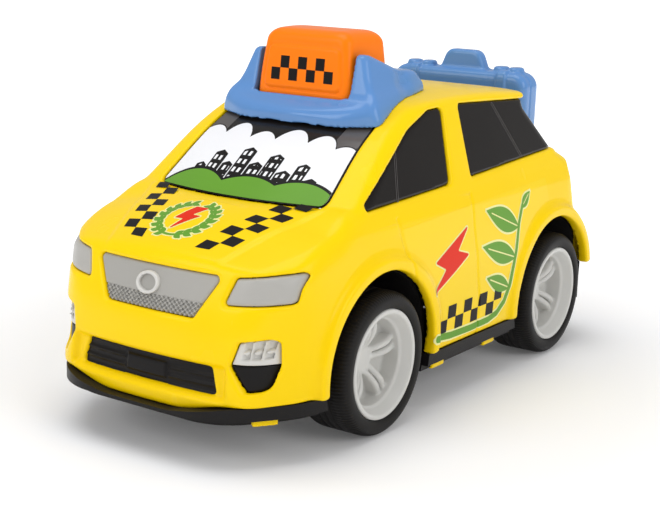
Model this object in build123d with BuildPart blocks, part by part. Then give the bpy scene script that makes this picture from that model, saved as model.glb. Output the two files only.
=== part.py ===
from build123d import *
import os
from math import atan2, cos, degrees, pi, radians, sin, sqrt, tan

os.makedirs("parts", exist_ok=True)

# A chunky friction taxi. X runs across the car, Y along it with the nose at -Y, Z up from the floor.
# The origin is on the floor, under the middle of the car's box.

# Wheels and stance
wheelbase = 135.0
front_axle_y = -56.0
rear_axle_y = front_axle_y + wheelbase
tyre_radius = 26.2
tyre_width = 22.0
rim_radius = 19.9
rim_seat_radius = 18.7
rim_wall = 1.8
hub_radius = 5.8
web_thickness = 2.2
rim_edge = 1.6
dish_depth = 3.8
dish_radius = 16.0
crest_radius = 11.0
spoke_pairs = 5
spoke_width = 2.3
spoke_spread = 1.9
front_spoke_turn = 16.0
rear_spoke_turn = 38.0
axle_radius = 2.0
running_clearance = 0.06
axle_z = tyre_radius

# Body form: side outline, its nose and tail set out from the axles
front_overhang = 66.4
rear_overhang = 43.4
nose_y = front_axle_y - front_overhang
tail_y = rear_axle_y + rear_overhang
nose_z = 27.0
grille_y = nose_y + 4.8
grille_z = 50.0
hood_y = nose_y + 11.4
hood_z = 67.5
hood_crown_y = nose_y + 30.4
hood_crown_z = 76.5
cowl_y = -72.5
cowl_z = 80.8
screen_y = -46.0
screen_z = 101.5
roof_front_y = -19.0
roof_front_z = 114.6
roof_crown_y = 24.0
roof_crown_z = 118.4
spoiler_y = tail_y - 51.4
spoiler_z = 112.4
hatch_y = tail_y - 29.4
hatch_z = 86.5
shoulder_y = tail_y - 20.4
shoulder_z = 82.5
tail_waist_y = tail_y - 17.9
tail_waist_z = 58.0
bumper_top_y = tail_y - 3.0
bumper_top_z = 43.5
tail_z = 33.0
skirt_z = 5.0

# Body form: plan and cross-section
body_half = 55.2
nose_half = body_half - 22.2
corner_half = body_half - 4.7
corner_y = nose_y + 26.4
fender_y = front_axle_y - 6.0
tail_half = body_half - 0.2
nose_corner_radius = 24.0
corner_radius = 45.0
fender_radius = 100.0
tail_corner_radius = 18.5
sill_half = body_half - 2.5
waist_low_z = 38.0
waist_high_z = 52.0
shoulder_half = body_half - 3.4
belt_z = 74.0
belt_half = body_half - 5.4
belt_top_z = 80.0
rail_half = body_half - 14.0
rail_z = 114.0
crown_half = body_half - 29.2
crown_z = 118.0

# Wheels across the car, set out from the body's side
tyre_face_x = body_half + 1.2
rim_face_x = tyre_face_x - 0.6
hub_face_x = rim_face_x - 9.3
web_x = rim_face_x - 13.8
spoke_crest_x = rim_face_x - 4.0
axle_half = hub_face_x - 1.5
tyre_back_x = tyre_face_x - tyre_width

# Mouldings
body_wall = 2.4
sill_z = 22.0
chin_z = 18.5
chin_half = 14.0
chin_end_half = 36.0
chin_radius = 30.0
tail_sill_z = 34.0
tail_sill_y = rear_axle_y + 26.0
arch_radius = 33.5
arch_lip = 3.6
arch_lip_x = body_half + 0.6
pane_recess = 0.9
pane_thickness = 1.6
pane_lap = 1.5
fit = 0.15

# Chassis
floor_z = 15.2
floor_thickness = 2.5
lip_reach = 2.6
lip_low_z = 17.5
lip_side_half = body_half - 0.8
tray_reach = -1.6
tray_side_half = sill_half - 1.0
tray_hollow_reach = -6.0
ramp_y = rear_axle_y + 27.0
ramp_end_z = 24.0
tail_lip_half = 38.0
tail_lip_radius = 10.0
tail_lip_z = 26.0
tail_tray_reach = -0.8
well_x = tyre_back_x - 4.8
well_wall = 1.8
tab_length = 9.0
tab_thickness = 2.2
tab_foot_z = floor_z + 0.4
tab_root_z = sill_z + 2.0
front_tab = (corner_half - 9.1, corner_y - 10.8)
front_tab_turn = 56.4
boss_radius = 4.0
boss_foot_z = 27.0
screw_radius = 1.4
screw_head_radius = 2.7
screw_head_height = 1.8
front_boss = (24.0, -99.0)
rear_boss = (22.0, rear_axle_y + 15.0)

# Roof sign and its cap-shaped base
sign_front_y = -34.2
sign_rear_y = -5.0
sign_half = 21.4
sign_top_half = 18.2
sign_top_z = 139.6
sign_foot_z = 112.4
sign_wall = 2.0
sign_travel = 2.5
sign_gap = 0.35
base_deck_z = 114.7
base_half = 34.6
base_waist_half = 31.0
base_waist_y = -10.0
base_tail_half = 24.0
base_rear_y = 13.0
ear_top_z = 131.0
ear_half = 24.6
brim_tip_y = -33.4
brim_front_y = -42.5
tub_wall = 1.8
tub_floor_z = 104.2
tub_floor_thickness = 1.8
board_thickness = 1.6
switch_side = 6.0
switch_height = 4.2
led_radius = 2.5
led_height = 7.0
spring_radius = 5.6
spring_wire = 0.7
spring_turns = 4

# Luggage case behind the rear window
case_half = 34.2
case_front_y = tail_y - 39.4
case_rear_y = tail_y - 24.4
case_foot_z = 83.5
case_top_z = 118.0
case_radius = 6.5
case_wall = 2.0
handle_base = 11.3
handle_top = 7.2
handle_z = 126.4
handle_thickness = 6.0
handle_y = (case_front_y + case_rear_y) / 2
latch_x = 21.9
peg_radius = 2.5
peg_length = 7.0
peg_y = case_rear_y - 3.6

# Friction drive
gear_module = 0.8
wheel_teeth = 30
pinion_teeth = 10
pressure_angle = 25.0
addendum = 0.9
dedendum = 1.2
backlash = 0.12
gear_face = 3.6
gear_gap = 0.8
gear_left_x = -8.0
train_angle = 15.0
shaft_radius = 1.2
flywheel_radius = 13.0
flywheel_width = 8.0
gearbox_wall = 1.5
gearbox_gap = 1.2
foot_length = 8.0

# Light and sound
cell_radius = 5.25
cell_length = 44.5
cell_pitch = 11.6
battery_y = 8.0
battery_wall = 1.6
contact_thickness = 0.5
contact_gap = 1.3
door_thickness = 2.0
door_tab_half = 5.0
door_tab_length = 8.0
door_ledge = 0.6
door_boss_radius = 3.2
door_boss_height = 6.0
speaker_radius = 14.5
speaker_height = 5.2
speaker_y = -27.0
lead_radius = 0.8
lead_entry_x = 12.0
lead_entry_y = -10.0

centre_distance = gear_module * (wheel_teeth + pinion_teeth) / 2
idler_y = rear_axle_y - centre_distance * cos(radians(train_angle))
idler_z = axle_z + centre_distance * sin(radians(train_angle))
flywheel_y = 2 * idler_y - rear_axle_y
flywheel_z = 2 * idler_z - axle_z
floor_top_z = floor_z + floor_thickness
sign_y = (sign_front_y + sign_rear_y) / 2


def finish(part, name):
    """Label a finished piece and write it as its own STEP file."""
    part.label = name
    export_step(part, f"parts/{name}.step")


def body_form(inset):
    """The car's outer form as three crossed outlines, or the same form drawn in by inset."""
    with BuildPart() as form:
        with BuildSketch(Plane.YZ):
            with BuildLine():
                FilletPolyline(
                    (nose_y + 1.5, skirt_z),
                    (nose_y, nose_z),
                    (grille_y, grille_z),
                    (hood_y, hood_z),
                    (hood_crown_y, hood_crown_z),
                    (cowl_y, cowl_z),
                    (screen_y, screen_z),
                    (roof_front_y, roof_front_z),
                    (roof_crown_y, roof_crown_z),
                    (spoiler_y, spoiler_z),
                    (hatch_y, hatch_z),
                    (shoulder_y, shoulder_z),
                    (tail_waist_y, tail_waist_z),
                    (bumper_top_y, bumper_top_z),
                    (tail_y, tail_z),
                    (tail_y - 2, skirt_z),
                    radius=[0.5, 30, 60, 5.5, 60, 9, 110, 60, 200, 3, 6, 4, 9, 7, 9, 0.5],
                    close=True,
                )
            make_face()
            if inset:
                offset(amount=-inset, kind=Kind.INTERSECTION)
        extrude(amount=body_half + 5, both=True)
        with BuildSketch(Plane.XY):
            with BuildLine():
                FilletPolyline(
                    (0, nose_y),
                    (nose_half, nose_y),
                    (corner_half, corner_y),
                    (body_half, fender_y),
                    (tail_half, tail_y),
                    (0, tail_y),
                    radius=[nose_corner_radius, corner_radius, fender_radius, tail_corner_radius],
                )
                mirror(about=Plane.YZ)
            make_face()
            if inset:
                offset(amount=-inset, kind=Kind.INTERSECTION)
        extrude(amount=crown_z + 10, mode=Mode.INTERSECT)
        with BuildSketch(Plane.XZ):
            with BuildLine():
                FilletPolyline(
                    (0, skirt_z - 2),
                    (sill_half, skirt_z - 2),
                    (body_half, waist_low_z),
                    (body_half, waist_high_z),
                    (shoulder_half, belt_z),
                    (belt_half, belt_top_z),
                    (rail_half, rail_z),
                    (crown_half, crown_z),
                    (0, crown_z),
                    radius=[0.5, 30, 30, 6, 8, 5, 60],
                )
                mirror(about=Plane.YZ)
            make_face()
            if inset:
                offset(amount=-inset, kind=Kind.INTERSECTION)
        extrude(amount=tail_y + 10, both=True, mode=Mode.INTERSECT)
    return form.part


def cut_along(plane, points, radius, margin, depth):
    """A straight prism from the plane, with a round-cornered outline grown or drawn in by margin."""
    with BuildPart() as block:
        with BuildSketch(plane):
            with BuildLine():
                FilletPolyline(*points, radius=radius, close=True)
            make_face()
            if margin:
                offset(amount=margin, kind=Kind.INTERSECTION)
        extrude(amount=depth)
    return block.part


# Outlines of everything set into the body, each drawn once and used by the piece and by its hole.
screen_points = [
    (12.2 - belt_half, cowl_z + 0.3),
    (belt_half - 12.2, cowl_z + 0.3),
    (rail_half - 6.3, 104.0),
    (rail_half - 15.2, 102.4),
    (15.2 - rail_half, 102.4),
    (6.3 - rail_half, 104.0),
]
front_window_points = [
    (-65.0, belt_top_z + 0.4),
    (-3.9, belt_top_z + 3.1),
    (-1.2, 111.4),
    (-11.0, 110.6),
    (-27.4, 104.6),
    (-41.1, 96.0),
]
rear_window_points = [
    (12.9, belt_top_z + 4.0),
    (hatch_y + 9.0, hatch_z + 2.2),
    (hatch_y - 9.0, 109.0),
    (11.2, 111.6),
]
hatch_glass_points = [
    (10.2 - rail_half, 91.5),
    (rail_half - 10.2, 91.5),
    (rail_half - 12.2, 107.0),
    (12.2 - rail_half, 107.0),
]
grille_points = [
    (14.2 - nose_half, 48.9),
    (nose_half - 14.2, 48.9),
    (nose_half - 5.8, 63.6),
    (5.8 - nose_half, 63.6),
]
headlight_points = [
    (corner_half - 21.2, 54.6),
    (corner_half - 1.9, 56.4),
    (corner_half + 0.1, 64.8),
    (corner_half - 18.7, 63.6),
]
lower_grille_points = [
    (3.4 - nose_half, 25.0),
    (nose_half - 3.4, 25.0),
    (nose_half - 6.0, 34.2),
    (6.0 - nose_half, 34.2),
]
pocket_points = [
    (corner_half - 10.9, 27.0),
    (corner_half - 5.5, 27.4),
    (corner_half - 3.7, 36.0),
    (corner_half - 3.9, 45.2),
    (corner_half - 14.1, 43.6),
    (corner_half - 16.3, 35.6),
]
fog_split_z = 36.0


def mirrored(points):
    """The same outline on the other side of the car."""
    return [(-across, up) for across, up in points]


front_depth = 85.0
front_reach = max(tail_y, -nose_y) + 7.6
glass_near = 15.0
glass_far = 80.0
hatch_near = -shoulder_y
hatch_far = 58.4 - tail_y
side_depth = rail_half - 9.2
wrap_depth = rail_half - 5.7
side_reach = body_half + 5


def front_cut(points, radius, margin=0.0, near=front_depth, far=front_reach):
    """A prism along the car from an outline seen from the front."""
    return cut_along(Plane.XZ.offset(near), points, radius, margin, far - near)


def side_cut(points, radius, margin=0.0, hand=1, depth=side_depth):
    """A prism across one side of the car from an outline seen from the side."""
    return cut_along(Plane.YZ.offset(hand * depth), points, radius, margin, hand * (side_reach - depth))


window_radius = 2.5
lamp_radius = 1.6

outer_form = body_form(0)
inner_form = body_form(body_wall)
recess_form = body_form(pane_recess)
lap_form = body_form(body_wall + pane_thickness)

tub_half = sign_half + sign_gap + tub_wall
tub_front_y = sign_front_y - sign_gap - tub_wall
tub_rear_y = sign_rear_y + sign_gap + tub_wall
tub_length = tub_rear_y - tub_front_y

# Everything below the body's lower edge, which dips at the nose and rises behind the rear wheels.
with BuildPart() as below_edge:
    with BuildSketch(Plane.XZ.offset(front_depth)):
        with BuildLine():
            FilletPolyline(
                (-side_reach, -sill_z),
                (side_reach, -sill_z),
                (side_reach, sill_z),
                (chin_end_half, sill_z),
                (chin_half, chin_z),
                (-chin_half, chin_z),
                (-chin_end_half, sill_z),
                (-side_reach, sill_z),
                radius=[1, 1, 1, chin_radius, chin_radius, chin_radius, chin_radius, 1],
                close=True,
            )
        make_face()
    extrude(amount=front_reach - front_depth)
    with BuildSketch(Plane.XY.offset(-sill_z)):
        with Locations((0, (tail_sill_y - front_depth) / 2)):
            Rectangle(2 * side_reach, tail_sill_y + front_depth)
    extrude(amount=2 * sill_z)
    with BuildSketch(Plane.XY.offset(-sill_z)):
        with Locations((0, (front_reach + tail_sill_y) / 2)):
            Rectangle(2 * side_reach, front_reach - tail_sill_y)
    extrude(amount=tail_sill_z + sill_z)


def tab_sketch(margin=0.0):
    """Plan outlines of the snap tabs: two at each sill and one at each front corner."""
    with BuildSketch(Plane.XY) as tabs:
        for tab_y in sill_tab_y:
            with Locations((sill_half - tab_thickness / 2 - 0.2, tab_y)):
                Rectangle(tab_thickness + 2 * margin, tab_length + 2 * margin)
        with Locations(front_tab):
            Rectangle(tab_length + 2 * margin, tab_thickness + 2 * margin, rotation=front_tab_turn)
        mirror(about=Plane.YZ)
    return tabs.sketch


# Yellow body shell: one moulding, open underneath, with arches, windows and lamp openings.
sill_tab_y = (-12.4, 28.0)
with BuildPart() as body_shell:
    add(outer_form)
    with BuildSketch(Plane.YZ.offset(body_half - 3)):
        for arch_y in (front_axle_y, rear_axle_y):
            with Locations((arch_y, axle_z)):
                Circle(arch_radius + arch_lip)
    extrude(amount=arch_lip_x - body_half + 3)
    mirror(about=Plane.YZ)
    add(below_edge.part, mode=Mode.SUBTRACT)
    add(inner_form, mode=Mode.SUBTRACT)
    for boss_x, boss_y in (front_boss, rear_boss):
        with BuildSketch(Plane.XY.offset(boss_foot_z)):
            with Locations((boss_x, boss_y), (-boss_x, boss_y)):
                Circle(boss_radius)
        extrude(until=Until.NEXT)
    for boss_x, boss_y in (front_boss, rear_boss):
        with BuildSketch(Plane.XY.offset(boss_foot_z)):
            with Locations((boss_x, boss_y), (-boss_x, boss_y)):
                Circle(screw_radius)
        extrude(amount=12, mode=Mode.SUBTRACT)
    with BuildSketch(Plane.YZ):
        with Locations((front_axle_y, axle_z), (rear_axle_y, axle_z)):
            Circle(arch_radius)
    extrude(amount=side_reach, both=True, mode=Mode.SUBTRACT)
    add(front_cut(screen_points, window_radius, 0, glass_near, glass_far), mode=Mode.SUBTRACT)
    add(front_cut(hatch_glass_points, window_radius, 0, hatch_near, hatch_far), mode=Mode.SUBTRACT)
    for hand in (1, -1):
        add(side_cut(front_window_points, window_radius, 0, hand), mode=Mode.SUBTRACT)
        add(side_cut(rear_window_points, window_radius, 0, hand, wrap_depth), mode=Mode.SUBTRACT)
    for points in (grille_points, lower_grille_points):
        add(front_cut(points, lamp_radius), mode=Mode.SUBTRACT)
    for points in (headlight_points, pocket_points):
        add(front_cut(points, lamp_radius), mode=Mode.SUBTRACT)
        add(front_cut(mirrored(points), lamp_radius), mode=Mode.SUBTRACT)
    with BuildSketch(Plane.XY.offset(roof_front_z - 20)):
        with Locations((0, sign_y)):
            Rectangle(2 * (tub_half + fit), tub_length + 2 * fit)
    extrude(amount=40, mode=Mode.SUBTRACT)
    with BuildSketch(Plane.XY.offset(case_foot_z - peg_length)):
        with Locations((latch_x, peg_y), (-latch_x, peg_y)):
            Circle(peg_radius + fit)
    extrude(amount=peg_length + 6, mode=Mode.SUBTRACT)
    with BuildSketch(Plane.XY.offset(tab_foot_z)):
        add(tab_sketch())
    extrude(amount=tab_root_z - tab_foot_z)
finish(body_shell.part, "body_shell")


def pane(outline, lap_outline, name, low_z=skirt_z, high_z=crown_z):
    """A pane with a lap behind the wall all round, between two heights. No outline: a plain back plate."""
    with BuildPart() as lap:
        add(inner_form)
        add(lap_outline, mode=Mode.INTERSECT)
    with BuildPart() as panel:
        if outline:
            add(recess_form)
            add(outline, mode=Mode.INTERSECT)
        add(lap.part)
        add(lap_form, mode=Mode.SUBTRACT)
        with BuildSketch(Plane.XY.offset(low_z)):
            Rectangle(2 * side_reach, 2 * front_reach)
        extrude(amount=high_z - low_z, mode=Mode.INTERSECT)
    finish(panel.part, name)


def front_pane(points, radius, near, far, name, low_z=skirt_z, high_z=crown_z):
    """A pane whose opening is drawn from the front or the back of the car."""
    pane(
        front_cut(points, radius, -fit, near, far),
        front_cut(points, radius, pane_lap, near, far),
        name,
        low_z,
        high_z,
    )


front_pane(screen_points, window_radius, glass_near, glass_far, "windscreen")
front_pane(hatch_glass_points, window_radius, hatch_near, hatch_far, "rear_window")
front_pane(grille_points, lamp_radius, front_depth, front_reach, "grille")
pane(None, front_cut(lower_grille_points, lamp_radius, pane_lap), "lower_grille")
for hand, side in ((1, "left"), (-1, "right")):
    for points, depth, place in (
        (front_window_points, side_depth, "front"),
        (rear_window_points, wrap_depth, "rear"),
    ):
        pane(
            side_cut(points, window_radius, -fit, hand, depth + fit),
            side_cut(points, window_radius, pane_lap, hand, depth - pane_lap),
            f"side_window_{place}_{side}",
        )
    lamp_points = headlight_points if hand > 0 else mirrored(headlight_points)
    front_pane(lamp_points, lamp_radius, front_depth, front_reach, f"headlight_{side}")
    lamp_points = pocket_points if hand > 0 else mirrored(pocket_points)
    front_pane(
        lamp_points, lamp_radius, front_depth, front_reach, f"fog_lamp_{side}", low_z=fog_split_z + fit
    )
    front_pane(
        lamp_points, lamp_radius, front_depth, front_reach, f"bumper_vent_{side}", high_z=fog_split_z - fit
    )


# Wheels: a soft tyre stretched over a dished plastic rim that is pressed on the axle.
tyre_shoulder = 3.2
tread_grooves = 5
groove_width = 0.8
groove_depth = 0.7
rim_back_x = tyre_back_x + 1.0
rim_lip = 1.5
barrel_radius = rim_seat_radius - rim_wall


def placed_wheel_part(part, axle_y, hand, name):
    """Put a wheel piece on its axle, on the left side or mirrored to the right."""
    placed = part.moved(Location((0, axle_y, axle_z)))
    if hand < 0:
        placed = placed.mirror(Plane.YZ)
    finish(placed, name)


def make_tyre(axle_y, hand, name):
    """A solid soft tyre: outer tread with fine grooves, round shoulders and a step at the rim."""
    lip_x = rim_face_x - rim_lip - 0.1
    wall_radius = (rim_radius + tyre_radius) / 2
    with BuildPart() as tyre:
        with BuildSketch(Plane.XY):
            with BuildLine():
                Polyline(
                    (tyre_back_x + 0.6, rim_seat_radius),
                    (lip_x, rim_seat_radius),
                    (lip_x, rim_radius + 0.2),
                    (rim_face_x - 0.3, rim_radius + 0.2),
                )
                ThreePointArc(
                    (rim_face_x - 0.3, rim_radius + 0.2),
                    (tyre_face_x, wall_radius),
                    (tyre_face_x - 1.4, tyre_radius - 1.2),
                )
                Polyline(
                    (tyre_face_x - 1.4, tyre_radius - 1.2),
                    (tyre_face_x - tyre_shoulder, tyre_radius),
                    (tyre_back_x + tyre_shoulder, tyre_radius),
                    (tyre_back_x + 1.4, tyre_radius - 1.2),
                )
                ThreePointArc(
                    (tyre_back_x + 1.4, tyre_radius - 1.2),
                    (tyre_back_x, wall_radius),
                    (tyre_back_x + 0.6, rim_seat_radius),
                )
            make_face()
            groove_pitch = (tyre_width - 2 * tyre_shoulder - 2) / (tread_grooves - 1)
            for groove in range(tread_grooves):
                with Locations((tyre_back_x + tyre_shoulder + 1 + groove * groove_pitch, tyre_radius)):
                    Rectangle(groove_width, 2 * groove_depth, mode=Mode.SUBTRACT)
        revolve(axis=Axis.X)
    placed_wheel_part(tyre.part, axle_y, hand, name)


def make_rim(axle_y, hand, first_spoke, name):
    """A one-piece rim: barrel, lip, deep dish, web, hub and pairs of spokes that rise from the hub."""
    with BuildPart() as rim:
        with BuildSketch(Plane.XY):
            with BuildLine():
                Polyline(
                    (rim_back_x, barrel_radius),
                    (rim_back_x, rim_seat_radius),
                    (rim_face_x - rim_lip, rim_seat_radius),
                    (rim_face_x - rim_lip, rim_radius),
                    (rim_face_x, rim_radius - 0.4),
                    (rim_face_x, rim_radius - rim_edge),
                    (rim_face_x - dish_depth, dish_radius),
                    (web_x + web_thickness, dish_radius),
                    (web_x + web_thickness, 0),
                    (web_x, 0),
                    (web_x, barrel_radius),
                    close=True,
                )
            make_face()
        revolve(axis=Axis.X)
        with BuildSketch(Plane.YZ.offset(rim_back_x)):
            Circle(hub_radius)
        extrude(amount=hub_face_x - rim_back_x)
        with BuildSketch(Plane.YZ.offset(web_x + 1)):
            for turn in range(spoke_pairs):
                direction = radians(first_spoke + turn * 360 / spoke_pairs)
                for offset_side in (spoke_spread, -spoke_spread):
                    middle = dish_radius / 2
                    across = middle * cos(direction) - offset_side * sin(direction)
                    up = middle * sin(direction) + offset_side * cos(direction)
                    with Locations((across, up)):
                        Rectangle(dish_radius + 0.6, spoke_width, rotation=degrees(direction))
        extrude(amount=spoke_crest_x - web_x - 1)
        with BuildSketch(Plane.XY):
            with BuildLine():
                Polyline(
                    (hub_face_x, 0),
                    (hub_face_x, hub_radius),
                    (spoke_crest_x, crest_radius),
                    (spoke_crest_x + 1, crest_radius),
                    (spoke_crest_x + 1, 0),
                    close=True,
                )
            make_face()
        revolve(axis=Axis.X, mode=Mode.SUBTRACT)
        with BuildSketch(Plane.YZ.offset(rim_back_x)):
            Circle(axle_radius)
        extrude(amount=axle_half - rim_back_x, mode=Mode.SUBTRACT)
    placed_wheel_part(rim.part, axle_y, hand, name)


for axle_y, place, first_spoke in (
    (front_axle_y, "front", front_spoke_turn),
    (rear_axle_y, "rear", rear_spoke_turn),
):
    with BuildPart() as axle:
        with BuildSketch(Plane.YZ.offset(-axle_half)):
            with Locations((axle_y, axle_z)):
                Circle(axle_radius)
        extrude(amount=2 * axle_half)
    finish(axle.part, f"{place}_axle")
    for hand, side in ((1, "left"), (-1, "right")):
        make_tyre(axle_y, hand, f"tyre_{place}_{side}")
        make_rim(axle_y, hand, first_spoke, f"rim_{place}_{side}")

# Black chassis: a tray whose lip shows below the body, with wheel wells, axle posts and bosses.
well_radius = arch_radius
post_thickness = 6.0
post_half = 5.5
battery_length = cell_length + 2 * contact_gap + 2 * battery_wall
battery_depth = cell_pitch + 2 * cell_radius + 2 * battery_wall + 0.6
door_half_x = battery_length / 2 - door_ledge
door_half_y = battery_depth / 2 - door_ledge
door_screw_y = battery_y + door_half_y + door_tab_length / 2
gearbox_radius = gear_module * (wheel_teeth / 2 + addendum) + gearbox_gap
gearbox_left_x = gear_left_x - gearbox_gap - gearbox_wall
gearbox_right_x = gear_left_x + 2 * gear_face + 2 * gear_gap + flywheel_width + gearbox_gap + gearbox_wall
gearbox_outer = gearbox_radius + gearbox_wall
gearbox_margin = 0.5
gearbox_end_y = rear_axle_y + gearbox_outer + gearbox_margin
screw_tip_z = boss_foot_z + 9.0


def plan_slab(reach, low, high):
    """A level slab with the body's plan, grown by reach."""
    with BuildPart() as slab:
        with BuildSketch(Plane.XY.offset(low)):
            with BuildLine():
                FilletPolyline(
                    (0, nose_y),
                    (nose_half, nose_y),
                    (corner_half, corner_y),
                    (body_half, fender_y),
                    (tail_half, tail_y),
                    (0, tail_y),
                    radius=[nose_corner_radius, corner_radius, fender_radius, tail_corner_radius],
                )
                mirror(about=Plane.YZ)
            make_face()
            if reach:
                offset(amount=reach, kind=Kind.INTERSECTION)
        extrude(amount=high - low)
    return slab.part


def level_block(half, near_y, far_y, low, high):
    """A plain block across the car between two distances and two heights."""
    with BuildPart() as block:
        with BuildSketch(Plane.XY.offset(low)):
            with Locations((0, (near_y + far_y) / 2)):
                Rectangle(2 * half, far_y - near_y)
        extrude(amount=high - low)
    return block.part


def below_ramp(rise):
    """The space under the chassis floor's upswept rear end, raised by rise."""
    with BuildPart() as space:
        with BuildSketch(Plane.YZ.offset(-side_reach)):
            with BuildLine():
                Polyline(
                    (ramp_y - floor_z, floor_z + rise),
                    (ramp_y, floor_z + rise),
                    (tail_y + lip_reach, ramp_end_z + rise),
                    (front_reach, ramp_end_z + rise),
                    (front_reach, 0),
                    (ramp_y - floor_z, 0),
                    close=True,
                )
            make_face()
        extrude(amount=2 * side_reach)
    return space.part


def bounded(slab, half, near_y, far_y):
    """The part of a slab that lies within a half width and between two distances."""
    with BuildPart() as piece:
        add(slab)
        add(level_block(half, near_y, far_y, 0, tail_sill_z), mode=Mode.INTERSECT)
    return piece.part


front_lip = bounded(plan_slab(lip_reach, lip_low_z, sill_z), lip_side_half, -front_reach, tail_sill_y)
front_tray = bounded(plan_slab(tray_reach, floor_z, sill_z), tray_side_half, -front_reach, tail_sill_y)
tail_tray = bounded(plan_slab(tail_tray_reach, floor_z, tail_sill_z), side_reach, tail_sill_y, front_reach)
tray_hollow = plan_slab(tray_hollow_reach, floor_top_z, tail_sill_z + 1)
well_limit_form = body_form(body_wall + pane_thickness + 0.3)

with BuildPart() as wells:
    for axle_y in (front_axle_y, rear_axle_y):
        with BuildSketch(Plane.YZ.offset(well_x - well_wall)):
            with Locations((axle_y, axle_z)):
                Circle(well_radius + well_wall)
        extrude(amount=sill_half - well_x)
    mirror(about=Plane.YZ)
    with BuildSketch(Plane.XY.offset(floor_z)):
        Rectangle(2 * side_reach, 2 * front_reach)
    extrude(amount=-arch_radius, mode=Mode.SUBTRACT)
    add(well_limit_form, mode=Mode.INTERSECT)

with BuildPart() as hollow:
    add(tray_hollow)
    add(below_ramp(floor_thickness), mode=Mode.SUBTRACT)

with BuildPart() as chassis:
    add(front_lip)
    add(front_tray)
    add(tail_tray)
    with BuildSketch(Plane.XY.offset(tail_lip_z)):
        with Locations((0, tail_y + lip_reach - tail_lip_radius)):
            RectangleRounded(2 * tail_lip_half, 2 * tail_lip_radius, tail_lip_radius - 1)
    extrude(amount=tail_sill_z - tail_lip_z)
    add(below_edge.part, mode=Mode.INTERSECT)
    add(below_ramp(0), mode=Mode.SUBTRACT)
    add(hollow.part, mode=Mode.SUBTRACT)
    add(wells.part)
    for axle_y in (front_axle_y, rear_axle_y):
        for hand in (1, -1):
            with BuildSketch(Plane.YZ.offset(hand * well_x)):
                with Locations((axle_y, axle_z)):
                    Circle(well_radius)
            extrude(amount=hand * (side_reach - well_x), mode=Mode.SUBTRACT)
            with BuildSketch(Plane.YZ.offset(hand * (well_x - well_wall - post_thickness))):
                with Locations((axle_y, (floor_z + axle_z + 6) / 2)):
                    Rectangle(2 * post_half, axle_z + 6 - floor_z)
            extrude(amount=hand * post_thickness)
            with BuildSketch(Plane.YZ.offset(hand * (well_x - well_wall - post_thickness))):
                with Locations((axle_y, axle_z)):
                    Circle(axle_radius + running_clearance)
            extrude(amount=hand * (post_thickness + well_wall), mode=Mode.SUBTRACT)
    for boss_x, boss_y in (front_boss, rear_boss):
        with BuildSketch(Plane.XY.offset(floor_z)):
            with Locations((boss_x, boss_y), (-boss_x, boss_y)):
                Circle(boss_radius)
        extrude(amount=boss_foot_z - floor_z)
        with BuildSketch(Plane.XY.offset(floor_z)):
            with Locations((boss_x, boss_y), (-boss_x, boss_y)):
                Circle(screw_radius + fit)
        extrude(amount=boss_foot_z - floor_z, mode=Mode.SUBTRACT)
        with BuildSketch(Plane.XY.offset(floor_z)):
            with Locations((boss_x, boss_y), (-boss_x, boss_y)):
                Circle(screw_head_radius + fit)
        extrude(amount=screw_head_height + 1.2, mode=Mode.SUBTRACT)
    with BuildSketch(Plane.XY.offset(floor_z)):
        with Locations((0, battery_y)):
            Rectangle(2 * door_half_x, 2 * door_half_y)
        with Locations((0, battery_y + door_half_y + door_tab_length / 2)):
            Rectangle(2 * door_tab_half, door_tab_length)
    extrude(amount=door_thickness, mode=Mode.SUBTRACT)
    with BuildSketch(Plane.XY.offset(floor_z)):
        with Locations((0, battery_y)):
            Rectangle(battery_length - 2 * battery_wall, battery_depth - 2 * battery_wall)
    extrude(amount=floor_thickness, mode=Mode.SUBTRACT)
    with BuildSketch(Plane.XY.offset(floor_top_z)):
        with Locations((0, door_screw_y)):
            Circle(door_boss_radius)
    extrude(amount=door_boss_height)
    with BuildSketch(Plane.XY.offset(floor_z)):
        with Locations((0, door_screw_y)):
            Circle(screw_radius)
    extrude(amount=floor_thickness + door_boss_height - 1, mode=Mode.SUBTRACT)
    with BuildSketch(Plane.XY.offset(floor_z)):
        with Locations(((gearbox_left_x + gearbox_right_x) / 2, (flywheel_y + gearbox_end_y) / 2)):
            Rectangle(gearbox_right_x - gearbox_left_x + 2 * gearbox_margin, gearbox_end_y - flywheel_y)
    extrude(amount=floor_thickness, mode=Mode.SUBTRACT)
    with BuildSketch(Plane.XY.offset(floor_z)):
        with Locations((0, speaker_y)):
            with PolarLocations(speaker_radius * 0.55, 6):
                Circle(1.5)
            Circle(1.5)
    extrude(amount=floor_thickness, mode=Mode.SUBTRACT)
    with BuildSketch(Plane.XY.offset(floor_z)):
        add(tab_sketch(fit))
    extrude(amount=sill_z - floor_z, mode=Mode.SUBTRACT)
finish(chassis.part, "chassis")

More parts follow.
